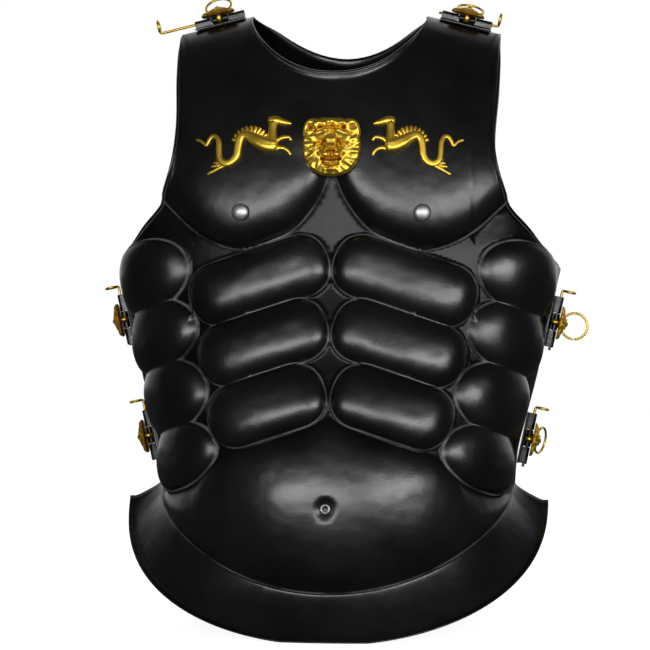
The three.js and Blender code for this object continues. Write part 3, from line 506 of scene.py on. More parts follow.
def plate_grid(side, counts, skirt_steps, body_rows, lip_rows):
    """Points of a plate's outer face by column and row, with each one's distance from the painted
    highlight lines and its depth in a hollow for the painted shade.
    """
    turn, rise, lip = column_tops(side, counts)
    neck, shoulder, armhole = counts
    bottom = np.concatenate([
        np.linspace(0, NECK_TURN, neck, endpoint=False),
        np.linspace(NECK_TURN, SHOULDER_TURN, shoulder, endpoint=False),
        np.linspace(SHOULDER_TURN, math.pi / 2, armhole + 1),
    ])
    turn, rise, lip, bottom = (
        np.concatenate([flip * values[:0:-1], values])
        for values, flip in ((turn, -1), (rise, 1), (lip, 1), (bottom, -1))
    )
    low = waist_rise(bottom)
    crease = plate_points(bottom, low, side)
    rows = skirt_rows(bottom, crease, side, skirt_steps)
    far = np.full(len(bottom), FAR)
    marks = [[far, far, far, np.zeros_like(far), far] for _ in rows]
    lip_width, lip_height = OPENING_LIP
    base = lambda t, r: torso_points(t, r, side)
    bound = smooth_step(np.abs(bottom), NECK_TURN, SHOULDER_TURN)
    order = np.abs(np.arange(len(turn)) - len(turn) // 2)
    ends = slice(len(turn) // 2 + neck + shoulder, None)
    first = np.interp(low, RISES, ROW_COUNT)
    last = np.interp(rise - lip_width, RISES, ROW_COUNT)
    steps = [(part, 0.0) for part in np.arange(body_rows) / (body_rows - 1)]
    steps += [(1.0, out) for out in np.arange(1, lip_rows + 1) / lip_rows]
    for part, out in steps:
        here_rise = np.interp(first + (last - first) * part, ROW_COUNT, RISES) + lip_width * out
        along = (here_rise - low) / (rise - low)
        free = bottom + (turn - bottom) * along ** 2
        pinched = (bottom + (turn / pinch(rise) - bottom) * along) * pinch(here_rise)
        here_turn = free + (pinched - free) * bound
        still_open = np.interp(here_rise, rise[ends][::-1], order[ends][::-1])
        limit = armhole_turn(here_rise) - COLUMN_GAP * np.maximum(0.0, still_open - order)
        here_turn = np.sign(here_turn) * np.minimum(np.abs(here_turn), limit)
        row = plate_points(here_turn, here_rise, side)
        if out:
            raised = (lip_height * lip * out ** 2)[:, None]
            row += normals_of(base, here_turn, here_rise, side) * raised
        # distances to the painted highlight lines, and the depth in a hollow for the painted shade
        marks.append(painted_light_marks(row, here_turn, side) + [rise - here_rise - RIM_INSET])
        rows.append(row)
    grid = np.stack(rows, axis=1)
    grid[..., 1] = SIGN[side] * np.maximum(grid[..., 1] * SIGN[side], SEAM_GAP / 2)
    return grid, dict(zip(MARKS, np.array(marks).transpose(1, 2, 0)))


def plate(side, counts, skirt_steps, body_rows, lip_rows, material):
    grid, marks = plate_grid(side, counts, skirt_steps, body_rows, lip_rows)
    columns, rows = grid.shape[:2]
    builder = bmesh.new()
    bmesh.ops.create_grid(builder, x_segments=columns - 1, y_segments=rows - 1, size=1.0)
    builder.verts.ensure_lookup_table()
    u = np.array([vertex.co.x for vertex in builder.verts])
    v = np.array([vertex.co.y for vertex in builder.verts])
    column = np.rint((u + 1) / 2 * (columns - 1)).astype(int)
    row = np.rint((v + 1) / 2 * (rows - 1)).astype(int)
    move_vertices(builder, to_frame(grid[column, row]))
    for name in MARKS:
        builder.verts.layers.float.new(name)
    for name in MARKS:
        layer = builder.verts.layers.float[name]
        for vertex, value in zip(builder.verts, marks[name][column, row]):
            vertex[layer] = value
    if side == "back":
        bmesh.ops.reverse_faces(builder, faces=builder.faces)
    piece = finished(builder, f"{side}_plate_sheet", material,
                     "root", [f"{side}_plate"])
    wall = piece.modifiers.new("wall", "SOLIDIFY")
    wall.thickness = SHEET * MM
    wall.offset = -1.0
    wall.use_even_offset = False
    return piece


# ---- round wires and limbs

def tube(builder, rings):
    """A closed tube through rings of points, each an array of the same length."""
    sides = len(rings[0])
    made = bmesh.ops.create_circle(builder, segments=sides, cap_ends=True, radius=1.0)["verts"]
    order = {vertex: i for i, vertex in enumerate(made)}
    edges = list({edge for vertex in made for edge in vertex.link_edges})
    for vertex, i in order.items():
        vertex.co = rings[0][i]
    for ring in rings[1:]:
        grown = bmesh.ops.extrude_edge_only(builder, edges=edges)["geom"]
        edges = [item for item in grown if isinstance(item, bmesh.types.BMEdge)]
        fresh = {}
        for vertex in (item for item in grown if isinstance(item, bmesh.types.BMVert)):
            others = (edge.other_vert(vertex) for edge in vertex.link_edges)
            fresh[vertex] = order[next(other for other in others if other in order)]
        for vertex, i in fresh.items():
            vertex.co = ring[i]
        order = fresh
        edges = [edge for edge in edges if edge.verts[0] in order and edge.verts[1] in order]
    bmesh.ops.contextual_create(builder, geom=edges)


def wire(builder, path, radius, sides=12):
    """A round wire along a list of points."""
    path = np.asarray(path, dtype=float)
    tangents = np.gradient(path, axis=0)
    tangents /= np.linalg.norm(tangents, axis=1, keepdims=True)
    across = np.cross((0.31, 0.17, 0.94), tangents[0])
    angles = np.arange(sides) * 2 * math.pi / sides
    rings = []
    for centre, along in zip(path, tangents):
        across = across - along * np.dot(across, along)
        across /= np.linalg.norm(across)
        other = np.cross(along, across)
        around = np.cos(angles)[:, None] * across + np.sin(angles)[:, None] * other
        rings.append(centre + radius * around)
    tube(builder, rings)


def spun(builder, profile, axis, segments=40):
    """Turns a profile of radius and height round Z or, with the radius up, round X."""
    chain = []
    for radius, height in profile:
        chain.append(builder.verts.new((radius, 0, height) if axis == "Z" else (height, 0, radius)))
    edges = [builder.edges.new(pair) for pair in zip(chain, chain[1:])]
    if profile[0] != profile[-1] and min(profile[0][0], profile[-1][0]) > 1e-6:
        edges.append(builder.edges.new((chain[-1], chain[0])))
    bmesh.ops.spin(builder, geom=chain + edges, cent=(0, 0, 0),
                   axis=(0, 0, 1) if axis == "Z" else (1, 0, 0), angle=2 * math.pi,
                   steps=segments, use_merge=True, use_duplicate=False)
    bmesh.ops.remove_doubles(builder, verts=builder.verts, dist=1e-4)


def slab(builder, low, high, bevel):
    """A box with bevelled edges, returned as its vertices."""
    made = bmesh.ops.create_cube(builder, size=1.0)["verts"]
    size = Vector(high) - Vector(low)
    bmesh.ops.scale(builder, vec=size, verts=made)
    bmesh.ops.translate(builder, vec=(Vector(high) + Vector(low)) / 2, verts=made)
    edges = list({edge for vertex in made for edge in vertex.link_edges})
    faces = bmesh.ops.bevel(builder, geom=edges, offset=bevel, segments=2, profile=0.5,
                            affect="EDGES", material=-1, clamp_overlap=True)["faces"]
    return list({vertex for face in faces for vertex in face.verts})


# ---- lion masks

def hill(x, y, at_x, at_y, half_x, half_y):
    return np.exp(-((x - at_x) / half_x) ** 2 - ((y - at_y) / half_y) ** 2)


def ridge(x, y, start, end, width):
    """Height of a soft ridge along the line between two points."""
    across = np.array(end, dtype=float) - start
    part = ((x - start[0]) * across[0] + (y - start[1]) * across[1]) / np.dot(across, across)
    part = np.clip(part, 0, 1)
    distance = np.hypot(x - start[0] - part * across[0], y - start[1] - part * across[1])
    return np.exp(-(distance / width) ** 2)


def lion_outline(angle):
    """Reach of the head from its middle: square round the ears, round at the chin."""
    across, up = np.cos(angle), np.sin(angle)
    square = 2.1 + 2.6 * smooth_step(up, -0.05, 0.35)
    reach = 1 / super_distance(across, up, square)
    notch = 0.045 * np.exp(-((up - 0.30) / 0.07) ** 2)
    dip = 0.05 * smooth_step(up, 0.6, 0.8) * np.exp(-((np.abs(across) - 0.42) / 0.07) ** 2)
    locks = 0.012 * np.abs(np.sin(11 * angle)) * (1 - smooth_step(up, 0.1, 0.3))
    return reach * (1 - notch - dip + locks)


# amount, start, end and width of each ridge or, less than zero, groove on either side
LION_RIDGES = (
    (0.14, (0.0, 0.86), (0.56, 0.78), 0.10),
    (-0.10, (0.0, 0.70), (0.42, 0.64), 0.05),
    (-0.10, (0.42, 0.64), (0.66, 0.44), 0.05),
    (0.20, (0.14, 0.56), (0.50, 0.42), 0.10),
    (-0.09, (0.26, 0.20), (0.36, -0.05), 0.04),
    (-0.05, (0.34, -0.08), (0.62, 0.02), 0.035),
    (-0.10, (0.0, -0.22), (0.0, -0.42), 0.035),
    (-0.22, (0.0, -0.50), (0.30, -0.45), 0.045),
    (-0.16, (0.30, -0.45), (0.44, -0.26), 0.05),
    (0.16, (0.0, -0.58), (0.20, -0.55), 0.07),
    (-0.10, (0.0, -0.68), (0.24, -0.62), 0.05),
)
# amount, place across and up, half width and half height of each hill or pit
LION_HILLS = (
    (0.20, 0.78, 0.72, 0.20, 0.24),
    (-0.26, 0.76, 0.66, 0.11, 0.13),
    (0.12, 0.21, 0.46, 0.09, 0.16),
    (-0.06, 0.0, 0.46, 0.06, 0.18),
    (-0.22, 0.38, 0.12, 0.15, 0.11),
    (0.19, 0.46, 0.04, 0.13, 0.085),
    (0.28, 0.0, -0.10, 0.20, 0.10),
    (-0.20, 0.11, -0.20, 0.055, 0.035),
    (0.36, 0.20, -0.32, 0.19, 0.16),
    (0.14, 0.0, -0.78, 0.20, 0.08),
    (0.10, 0.55, -0.24, 0.16, 0.2),
)
LION_BRIDGE = 0.26  # height of the nose


def lion_face(x, y):
    """Height of the face by place, both in parts of the half width."""
    side = np.abs(x)
    radius = np.hypot(x, y)
    angle = np.arctan2(y, x)
    height = 0.30 + 0.34 * (1 - np.minimum(1, radius) ** 2.2)
    locks = np.sin(13 * angle + 5.5 * radius) * 0.5 + np.sin(23 * angle - 9 * radius + 1.3) * 0.35
    mane = smooth_step(radius, 0.62, 0.80) * (1 - smooth_step(radius, 0.97, 1.06))
    height += 0.085 * locks * mane
    for amount, start, end, width in LION_RIDGES:
        height += amount * ridge(side, y, start, end, width)
    for amount, *place in LION_HILLS:
        height += amount * hill(side, y, *place)
    bridge = smooth_step(-side, -0.22, -0.14)
    bridge *= smooth_step(-y, -0.42, -0.20) * smooth_step(y, -0.18, -0.08)
    return height + LION_BRIDGE * bridge


def recess_layer(builder):
    """How deep in a hollow each vertex lies, from 0 on the high spots to 1."""
    layers = builder.verts.layers.float
    return layers.get("recess") or layers.new("recess")


# how far the hollows reach and how strongly they brown the brass with patina and painted shade
LION_BLUR = 5
LION_CONTRAST = 12.0


def blurred(table, reach):
    """A table with each value averaged over its neighbours to a number of cells away."""
    padded = np.pad(table, reach, mode="edge")
    rows, columns = table.shape
    span = range(2 * reach + 1)
    wide = sum(padded[:, i:i + columns] for i in span) / len(span)
    return sum(wide[i:i + rows] for i in span) / len(span)


def lion_relief(builder, half_width, half_height, depth, cells):
    """A solid relief of a lion's face on a flat back at z = 0, with how deep each spot is."""
    layer = recess_layer(builder)
    made = bmesh.ops.create_grid(builder, x_segments=cells, y_segments=cells, size=1.0)["verts"]
    flat = np.array([vertex.co for vertex in made])
    disc_x = flat[:, 0] * np.sqrt(1 - flat[:, 1] ** 2 / 2)
    disc_y = flat[:, 1] * np.sqrt(1 - flat[:, 0] ** 2 / 2)
    radius = np.hypot(disc_x, disc_y)
    reach = lion_outline(np.arctan2(disc_y, disc_x))
    x, y = disc_x * reach, disc_y * reach
    height = lion_face(x, y) * (1 - 0.55 * smooth_step(radius, 0.93, 1.0))
    column = np.rint((flat[:, 0] + 1) / 2 * cells).astype(int)
    row = np.rint((flat[:, 1] + 1) / 2 * cells).astype(int)
    table = np.zeros((cells + 1, cells + 1))
    table[column, row] = height
    # depth in a hollow, which browns the brass with patina and painted shade
    hollow = np.clip((blurred(table, LION_BLUR) - table)[column, row] * LION_CONTRAST, 0, 1)
    places = np.stack([x * half_width, y * half_height, height * depth], axis=1)
    for vertex, place, deep in zip(made, places, hollow):
        vertex.co = place
        vertex[layer] = deep
    own = set(made)
    border = [edge for edge in builder.edges if edge.is_boundary and edge.verts[0] in own]
    skirt = bmesh.ops.extrude_edge_only(builder, edges=border)["geom"]
    for vertex in (item for item in skirt if isinstance(item, bmesh.types.BMVert)):
        vertex.co.z = 0.0
    foot = [item for item in skirt if isinstance(item, bmesh.types.BMEdge) and item.is_boundary]
    bmesh.ops.contextual_create(builder, geom=foot)


# ---- sea horses

# distance from the middle of the chest, height, width
SEA_HORSE_BODY = (
    (52.5, 443.5, 12.5), (58, 444.5, 13), (65, 447.5, 12), (72, 451.5, 9.5), (78, 453.2, 8.2),
    (82.2, 450, 7.8), (83.6, 443, 7.4), (84.4, 436, 7.2), (87.2, 431, 7), (92, 428.2, 6.8),
    (97, 429.6, 6.6), (100, 434, 6.2), (101, 441, 5.8), (101.6, 447.5, 5.4), (104, 452, 4.8),
    (107.8, 452.8, 4.2), (111, 449.5, 3.6), (113.2, 445, 3), (115.6, 446.8, 2.9), (119, 449.2, 2.8),
    (122.6, 450, 2.4),
)
SEA_HORSE_LIMBS = (
    ((53, 443, 11.5), (52.8, 450, 9.2), (53, 457, 8.2), (53, 464, 8.4)),
    ((55, 466.5, 7.5), (50, 466.8, 8), (44, 465.4, 6.2), (39.2, 464.4, 4.4), (37.2, 464, 3)),
    (
        (56, 443, 4.6), (51, 446.5, 4.2), (46, 450.2, 4), (41.5, 451.4, 3.8), (38, 451.4, 3.4),
        (36.2, 449.2, 3.2),
    ),
    (
        (59, 440.5, 5), (52, 440.2, 4.6), (46, 442, 4.2), (41.5, 441.2, 3.8), (38.2, 439, 3.4),
        (36.6, 436.2, 3.2),
    ),
    ((93, 427.5, 4.6), (101, 423.6, 3.4), (109.6, 419.2, 2.6)),
    ((94, 429, 3.6), (101, 426.4, 3), (106.6, 425.8, 2.4)),
    ((96, 430.5, 3.4), (101, 429, 2.8), (104.6, 429, 2.4)),
    ((98, 432.5, 3.2), (101.5, 431.6, 2.6), (103, 432.4, 2.2)),
)
# middle of the fan, inner and outer reach, first and last angle, number of ribs, width
SEA_HORSE_FAN = (72.5, 444.5, 10.0, 17.0, 18.0, 160.0, 11, 3.5)
SEA_HORSE_DROP = 2.8
SEA_HORSE_SQUEEZE = {"right": 1.0, "left": 0.92}  # length of each casting, in parts of the table's
SEA_HORSE_NOSE = 37.0  # how far from the middle its snout begins
SEA_HORSE_GROOVE = 0.10
REST_GAP = 0.5
LIMB_SIDES = 18
LIMB_ENDS = 3  # rings that round off each end
LIMB_END_REACH = 0.45
LIMB_FOOT, LIMB_CROWN = 0.16, 0.44  # height of its edge and of its middle over that
LIMB_GROOVE_WIDTH = 0.12


def limb(builder, rows, mirror, squeeze, steps=5, groove=0.0):
    """A rounded, tapered strip that follows the chest along a table's rows."""
    path = smooth_path(rows, steps)
    direction = np.gradient(path[:, :2], axis=0)
    direction /= np.linalg.norm(direction, axis=1, keepdims=True)
    angles = np.linspace(0, 2 * math.pi, LIMB_SIDES, endpoint=False)
    beyond = np.arange(1, LIMB_ENDS + 1) / LIMB_ENDS
    stations = [(path[0], direction[0], -part) for part in beyond[::-1]]
    stations += [(spot, along, 0.0) for spot, along in zip(path, direction)]
    stations += [(path[-1], direction[-1], part) for part in beyond]
    rings = []
    for spot, along, part in stations:
        taper = math.sqrt(max(0.02, 1 - part ** 2))
        width = spot[2]
        centre = spot[:2] + along * part * width * LIMB_END_REACH
        across = 0.5 * width * taper * np.cos(angles)
        dip = groove * width * np.exp(-((across / width) / LIMB_GROOVE_WIDTH) ** 2)
        crown = width * taper * (LIMB_FOOT + LIMB_CROWN * np.sin(angles))
        up = np.maximum(0.0, crown - dip * (np.sin(angles) > 0))
        x = SEA_HORSE_NOSE + (centre[0] + along[1] * across - SEA_HORSE_NOSE) * squeeze
        z = centre[1] - along[0] * across - SEA_HORSE_DROP
        rings.append(over_chest(mirror * x, z, REST_GAP + up))
    tube(builder, rings)


# ---- hinges

BARREL = {"radius": 3.0, "bore": 1.65, "bevel": 0.35, "half": 24.0, "middle": 7.9, "gap": 0.35,
          "offset": 6.4}
LEAF = {"thickness": 1.2, "near": 1.1, "far": 17.0, "bevel": 0.35}
WEB = {"near": 1.9, "far": 3.0, "sunk": 0.2, "inset": 0.02, "bevel": 0.2}
PIN = {"radius": 1.25, "shaft": 57.0, "showing": 6.0, "bend": 1.5, "eye": 5.2, "gap": 50.0}
RING = {"radius": 12.2, "wire": 1.15, "sunk": 0.75, "split": 6.0, "split_at": -80.0}
MASK = {"back": 9.9, "half_width": 15.5, "half_height": 13.0, "above": 5.5, "depth": 7.0,
        "cells": 44}
MOUTH = {"front": -7.5, "out": 13.0, "radius": 4.0, "half": 5.2, "bore": 2.75, "bevel": 0.8}
POST = {"front": 9.0, "radius": 2.4, "clear": 0.9}
BORED_SEGMENTS, POST_SEGMENTS = 28, 24
TOUCHING = 0.05
# end of the barrel with the pin's eye, how far the pin is drawn, how far the ring leans
HINGES = {
    "right_shoulder": (1, 28, 50),
    "left_shoulder": (-1, 0, 66),
    "right_upper": (-1, 2, 88),
    "left_upper": (1, 0, 4),
    "right_lower": (-1, 4, 88),
    "left_lower": (1, 0, 68),
}


def hinge_axes(name, eye):
    """A hinge's own axes in the frame: X along the barrel, Y to the front, Z out."""
    joints = {joint["name"]: joint for joint in frame["joints"]}
    along = Vector(joints[f"pin_slide_{name}"]["axis"]) * eye
    front = Vector((0, -1, 0))
    out = along.cross(front).normalized()
    pivot = Vector(joints[f"ring_turn_{name}"]["pos_m"])
    origin = pivot - front * MOUTH["front"] * MM - out * MOUTH["out"] * MM
    axes = Matrix((along, front, out)).transposed().to_4x4()
    placed = axes @ Matrix.Scale(MM, 4)
    placed.translation = origin
    return placed


def leaf_underside(node, axes, toward):
    """Height of the leaf's underside near the barrel and at its far edge."""
    inverse = axes.inverted()
    corners = [inverse @ vertex.co for vertex in frame["nodes"][node].data.vertices]
    heights = []
    for distance in (LEAF["near"], LEAF["far"]):
        heights.append(min(c.z for c in corners if abs(c.y - toward * distance) < TOUCHING))
    return heights


def added_since(builder, before):
    return [vertex for vertex in builder.verts if vertex not in before]


def bored(builder, shape, start, end, place):
    """A bored cylinder along X with eased rims, moved to its place."""
    before = set(builder.verts)
    radius, bore, bevel = shape["radius"], shape["bore"], shape["bevel"]
    rim = radius - bevel
    spun(builder, ((bore, start), (rim, start), (radius, start + bevel), (radius, end - bevel),
                   (rim, end), (bore, end)), "X", BORED_SEGMENTS)
    bmesh.ops.translate(builder, vec=place, verts=added_since(builder, before))


def leaf_slope(underside):
    near, far = underside
    return (far - near) / (LEAF["far"] - LEAF["near"])


def hinge_leaf(builder, underside, toward):
    """One leaf with its knuckles: two on the front leaf, one on the back leaf."""
    half, near = BARREL["half"], underside[0]
    leaf = slab(builder, (-half, LEAF["near"], 0), (half, LEAF["far"], LEAF["thickness"]),
                LEAF["bevel"])
    for vertex in leaf:
        vertex.co.z += near + leaf_slope(underside) * (vertex.co.y - LEAF["near"])
        vertex.co.y *= toward
    inner = BARREL["middle"] + BARREL["gap"]
    spans = [(-BARREL["middle"], BARREL["middle"])]
    if toward > 0:
        spans = [(-half, -inner), (inner, half)]
    for start, end in spans:
        bored(builder, BARREL, start, end, (0, 0, BARREL["offset"]))
        web = slab(builder, (start + WEB["inset"], WEB["near"], near + WEB["sunk"]),
                   (end - WEB["inset"], WEB["far"], BARREL["offset"]), WEB["bevel"])
        for vertex in web:
            vertex.co.y *= toward


def hinge_mask(builder, post_foot):
    """A lion's mask with the bored mouth that holds its ring, on a post."""
    lion_relief(builder, MASK["half_width"], MASK["half_height"], MASK["depth"], MASK["cells"])
    bmesh.ops.translate(builder, vec=(0, MASK["above"], MASK["back"]), verts=builder.verts)
    bored(builder, MOUTH, -MOUTH["half"], MOUTH["half"], (0, MOUTH["front"], MOUTH["out"]))
    before = set(builder.verts)
    top = MASK["back"] + 1
    spun(builder, ((0, post_foot), (POST["radius"], post_foot), (POST["radius"], top), (0, top)),
         "Z", POST_SEGMENTS)
    bmesh.ops.translate(builder, vec=(0, POST["front"], 0), verts=added_since(builder, before))


def pin_path(eye, drawn):
    end = eye * (BARREL["half"] + PIN["showing"] + drawn)
    lift = BARREL["offset"]
    start = end - eye * PIN["shaft"]
    stop = end - eye * PIN["bend"] * 2.2
    path = [(start + (stop - start) * part, 0.0, lift) for part in np.linspace(0, 1, 14)]
    centre = lift + PIN["bend"] + PIN["eye"]
    first = np.array((end, PIN["eye"] * math.cos(math.radians(-90)), centre - PIN["eye"]))
    corner = np.array((end, 0.0, lift))
    start_bend = np.array(path[-1])
    for part in (0.25, 0.5, 0.75):
        rest = 1 - part
        path.append(rest ** 2 * start_bend + 2 * part * rest * corner + part ** 2 * first)
    for angle in np.radians(np.linspace(-90, 270 - PIN["gap"], 30)):
        path.append((end, PIN["eye"] * math.cos(angle), centre + PIN["eye"] * math.sin(angle)))
    return path


def ring_path():
    start = RING["split_at"] + RING["split"] / 2
    angles = np.radians(np.linspace(start, start + 360 - RING["split"], 72))
    radius = RING["radius"]
    lift = radius - RING["sunk"]
    return [(radius * math.sin(a), 0.0, lift + radius * math.cos(a)) for a in angles]


# ---- flat seats

def flat_seat(x, z, half_width, half_height):
    """Axes of a flat seat on the chest, raised so that it clears the relief below."""
    rise = rise_at(np.array([x]), np.array([z]))
    turn = turn_at(np.array([x]), rise)
    base = lambda t, r: torso_points(t, r, "front")
    out = Vector(normals_of(base, turn, rise, "front")[0])
    rising = (Vector((0, 0, 1)) - out * out.z).normalized()
    axes = Matrix((rising.cross(out), rising, out)).transposed().to_4x4()
    axes.translation = Vector(base(turn, rise)[0])
    steps = np.linspace(-1, 1, 5)
    across = [x + a * half_width for a in steps for b in steps]
    up = [z + b * half_height for a in steps for b in steps]
    under = over_chest(across, up, np.zeros(len(across)))
    inverse = axes.inverted()
    lift = max(0.0, max((inverse @ Vector(point)).z for point in under))
    return axes @ Matrix.Translation((0, 0, lift + SEAT_GAP))


# ---- materials

def feed(tree, node, inputs):
    """Sets a node's inputs, each to a value or from another node's output."""
    for key, value in inputs.items():
        if isinstance(value, bpy.types.NodeSocket):
            tree.links.new(value, node.inputs[key])
        else:
            node.inputs[key].default_value = value
    return node


def add_node(tree, kind, inputs, **settings):
    node = tree.nodes.new(kind)
    for name, value in settings.items():
        setattr(node, name, value)
    return feed(tree, node, inputs)


def math_of(tree, operation, *values):
    node = add_node(tree, "ShaderNodeMath", dict(enumerate(values)), operation=operation)
    return node.outputs[0]


def noise_of(tree, scale, detail):
    """Noise that stays with the piece."""
    place = add_node(tree, "ShaderNodeTexCoord", {}).outputs["Object"]
    inputs = {"Vector": place, "Scale": scale, "Detail": detail}
    return add_node(tree, "ShaderNodeTexNoise", inputs).outputs["Fac"]


def attribute_of(tree, name):
    return add_node(tree, "ShaderNodeAttribute", {}, attribute_name=name).outputs["Fac"]


def ramp_of(tree, source, low, high, start, stop):
    """A colour that runs from one to another as a value goes from start to stop."""
    ramp = add_node(tree, "ShaderNodeValToRGB", {"Fac": source})
    for element, colour, position in zip(ramp.color_ramp.elements, (low, high), (start, stop)):
        element.position = position
        element.color = colour
    return ramp.outputs["Color"]


def new_group(name, inputs, output):
    """A node group of numbers in and one number out, with its two ends."""
    group = bpy.data.node_groups.new(name, "ShaderNodeTree")
    for socket in inputs:
        group.interface.new_socket(socket, in_out="INPUT", socket_type="NodeSocketFloat")
    group.interface.new_socket(output, in_out="OUTPUT", socket_type="NodeSocketFloat")
    given = group.nodes.new("NodeGroupInput").outputs
    return group, given, group.nodes.new("NodeGroupOutput")


def grey(level):
    return (level, level, level, 1)


# For each finish: how metallic it is; the scale and detail of its noise; its tone and its
# roughness, which run from one colour to another as the noise goes from start to stop; the
# values of RIPPLE_INPUTS, and how many metres a ripple height of 1 stands for.
PAINT = {
    "metallic": 0.0,
    "noise": (16.0, 5.0),
    "tone": ((0.002, 0.002, 0.0022, 1), grey(0.006), 0.35, 0.7),
    "rough": (grey(0.23), grey(0.31), 0.3, 0.7),
    "ripple": (26.0, 1.0, 520.0, 0.055),
    "depth": 0.0012,
}
CAST_BRASS = {
    "metallic": 1.0,
    "noise": (240.0, 4.0),
    # bright brass on the high spots, brown in the hollows with patina and painted shade
    "tone": ((1.0, 0.68, 0.085, 1), (0.30, 0.13, 0.012, 1), 0.25, 1.0),
    "rough": (grey(0.40), grey(0.62), 0.15, 0.9),
    "ripple": (300.0, 0.3, 1500.0, 0.1),
    "depth": 0.0004,
}
TURNED_STEEL = {
    "metallic": 1.0,
    "noise": (700.0, 3.0),
    "tone": ((0.42, 0.42, 0.43, 1), grey(0.66), 0.3, 0.7),
    "rough": (grey(0.38), grey(0.5), 0.3, 0.7),
    "ripple": (200.0, 0.3, 2000.0, 0.2),
    "depth": 0.0002,
}
PAINT_SHINE_SHADED_IN_HOLLOWS = (grey(0.62), grey(0.2), 0.0, 0.8)  # from the open into a hollow, where the lower shine is painted shade
BRASS_STAINS = 0.3  # how much the noise adds to a hollow's patina and painted shade
# the light grey of the painted highlights that stand in for light caught along the creases and rims
PAINTED_HIGHLIGHT_TONE = grey(0.15)
# widths of the painted highlight lines along the creases and rims, in millimetres to either side
LINE_WIDTHS = {"muscle_line": 1.2, "chest_line": 1.4, "waist_line": 2.4, "rim_line": 0.9}
# noise that breaks the painted highlight lines up here and there
BREAK_NOISE = (34.0, 4.0)
BREAKS = {"From Min": 0.36, "From Max": 0.6, "To Min": 0.15, "To Max": 1.0}
RIPPLE_INPUTS = ("Ripple Scale", "Ripple Height", "Grain Scale", "Grain Height")
RIPPLE_DETAIL = 2.0


def surface_ripple():
    """A node group: the uneven surface that a hammer and a brush leave on sheet metal."""
    group, given, result = new_group("surface ripple", RIPPLE_INPUTS, "Height")
    heights = []
    for layer in ("Ripple", "Grain"):
        noise = noise_of(group, given[f"{layer} Scale"], RIPPLE_DETAIL)
        heights.append(math_of(group, "MULTIPLY", noise, given[f"{layer} Height"]))
    feed(group, result, {"Height": math_of(group, "ADD", *heights)})
    return group


def painted_highlight_line_group():
    """A node group: how strongly a thin painted highlight line shows, 0 to 1, by millimetres from
    it.
    """
    group, given, result = new_group("painted highlight line", ("Distance", "Width"), "Mask")
    fade = add_node(group, "ShaderNodeMapRange", {
        "Value": math_of(group, "ABSOLUTE", given["Distance"]),
        "From Min": 0.0, "From Max": given["Width"], "To Min": 1.0, "To Max": 0.0,
    }, interpolation_type="SMOOTHSTEP")
    feed(group, result, {"Mask": fade.outputs["Result"]})
    return group


def painted_highlight_mask(tree):
    """The strongest of the painted highlight lines, broken up here and there."""
    strongest = 0.0
    for name, width in LINE_WIDTHS.items():
        line = add_node(tree, "ShaderNodeGroup", {
            "Distance": attribute_of(tree, name), "Width": width,
        }, node_tree=PAINTED_HIGHLIGHT_LINE)
        strongest = math_of(tree, "MAXIMUM", strongest, line.outputs["Mask"])
    kept = add_node(tree, "ShaderNodeMapRange", {"Value": noise_of(tree, *BREAK_NOISE), **BREAKS})
    return math_of(tree, "MULTIPLY", strongest, kept.outputs["Result"])


def begun(name, finish):
    """A rippled material of a finish, with its node tree, its shader and its noise."""
    material = bpy.data.materials.new(name)
    material.use_nodes = True
    tree = material.node_tree
    values = dict(zip(RIPPLE_INPUTS, finish["ripple"]))
    ripple = add_node(tree, "ShaderNodeGroup", values, node_tree=RIPPLE)
    bump = add_node(tree, "ShaderNodeBump", {
        "Strength": 1.0, "Distance": finish["depth"], "Height": ripple.outputs["Height"],
    })
    shader = feed(tree, tree.nodes["Principled BSDF"], {
        "Metallic": finish["metallic"], "Normal": bump.outputs["Normal"],
    })
    return material, tree, shader, noise_of(tree, *finish["noise"])


def coloured(tree, shader, finish, source):
    """Gives the shader a finish's tone and roughness by a value, and returns the tone."""
    tone = ramp_of(tree, source, *finish["tone"])
    feed(tree, shader, {"Base Color": tone, "Roughness": ramp_of(tree, source, *finish["rough"])})
    return tone


def painted_steel(name, highlight_lines):
    """Satin black paint over hammered sheet steel, with less shine in the hollows as painted shade;
    painted highlights along its creases and rims are added when asked for.
    """
    material, tree, shader, cloud = begun(name, PAINT)
    paint = coloured(tree, shader, PAINT, cloud)
    # painted shade: the paint shines less in the hollows
    shine_shaded_in_hollows = ramp_of(tree, attribute_of(tree, "hollow"), *PAINT_SHINE_SHADED_IN_HOLLOWS)
    feed(tree, shader, {"Specular IOR Level": shine_shaded_in_hollows})
    if highlight_lines:
        # painted highlights: light grey along the creases and rims, standing in for the light
        # caught there
        tone = add_node(tree, "ShaderNodeMix", {
            "Factor": painted_highlight_mask(tree), "A": paint, "B": PAINTED_HIGHLIGHT_TONE,
        }, data_type="RGBA")
        feed(tree, shader, {"Base Color": tone.outputs["Result"]})
    return material


def cast_brass():
    """Cast brass, bright on the high spots and brown in the hollows with patina and painted shade.
    """
    material, tree, shader, stain = begun("cast brass with patina and painted shade in its hollows", CAST_BRASS)
    # the hollows brown with patina and painted shade, the noise adding stains
    patina_and_shade = math_of(tree, "MULTIPLY_ADD", stain, BRASS_STAINS, attribute_of(tree, "recess"))
    coloured(tree, shader, CAST_BRASS, patina_and_shade)
    return material


def bright_steel():
    """Turned steel, brushed and a little dull."""
    material, tree, shader, scuff = begun("brushed steel", TURNED_STEEL)
    coloured(tree, shader, TURNED_STEEL, scuff)
    return material


# ---- studio

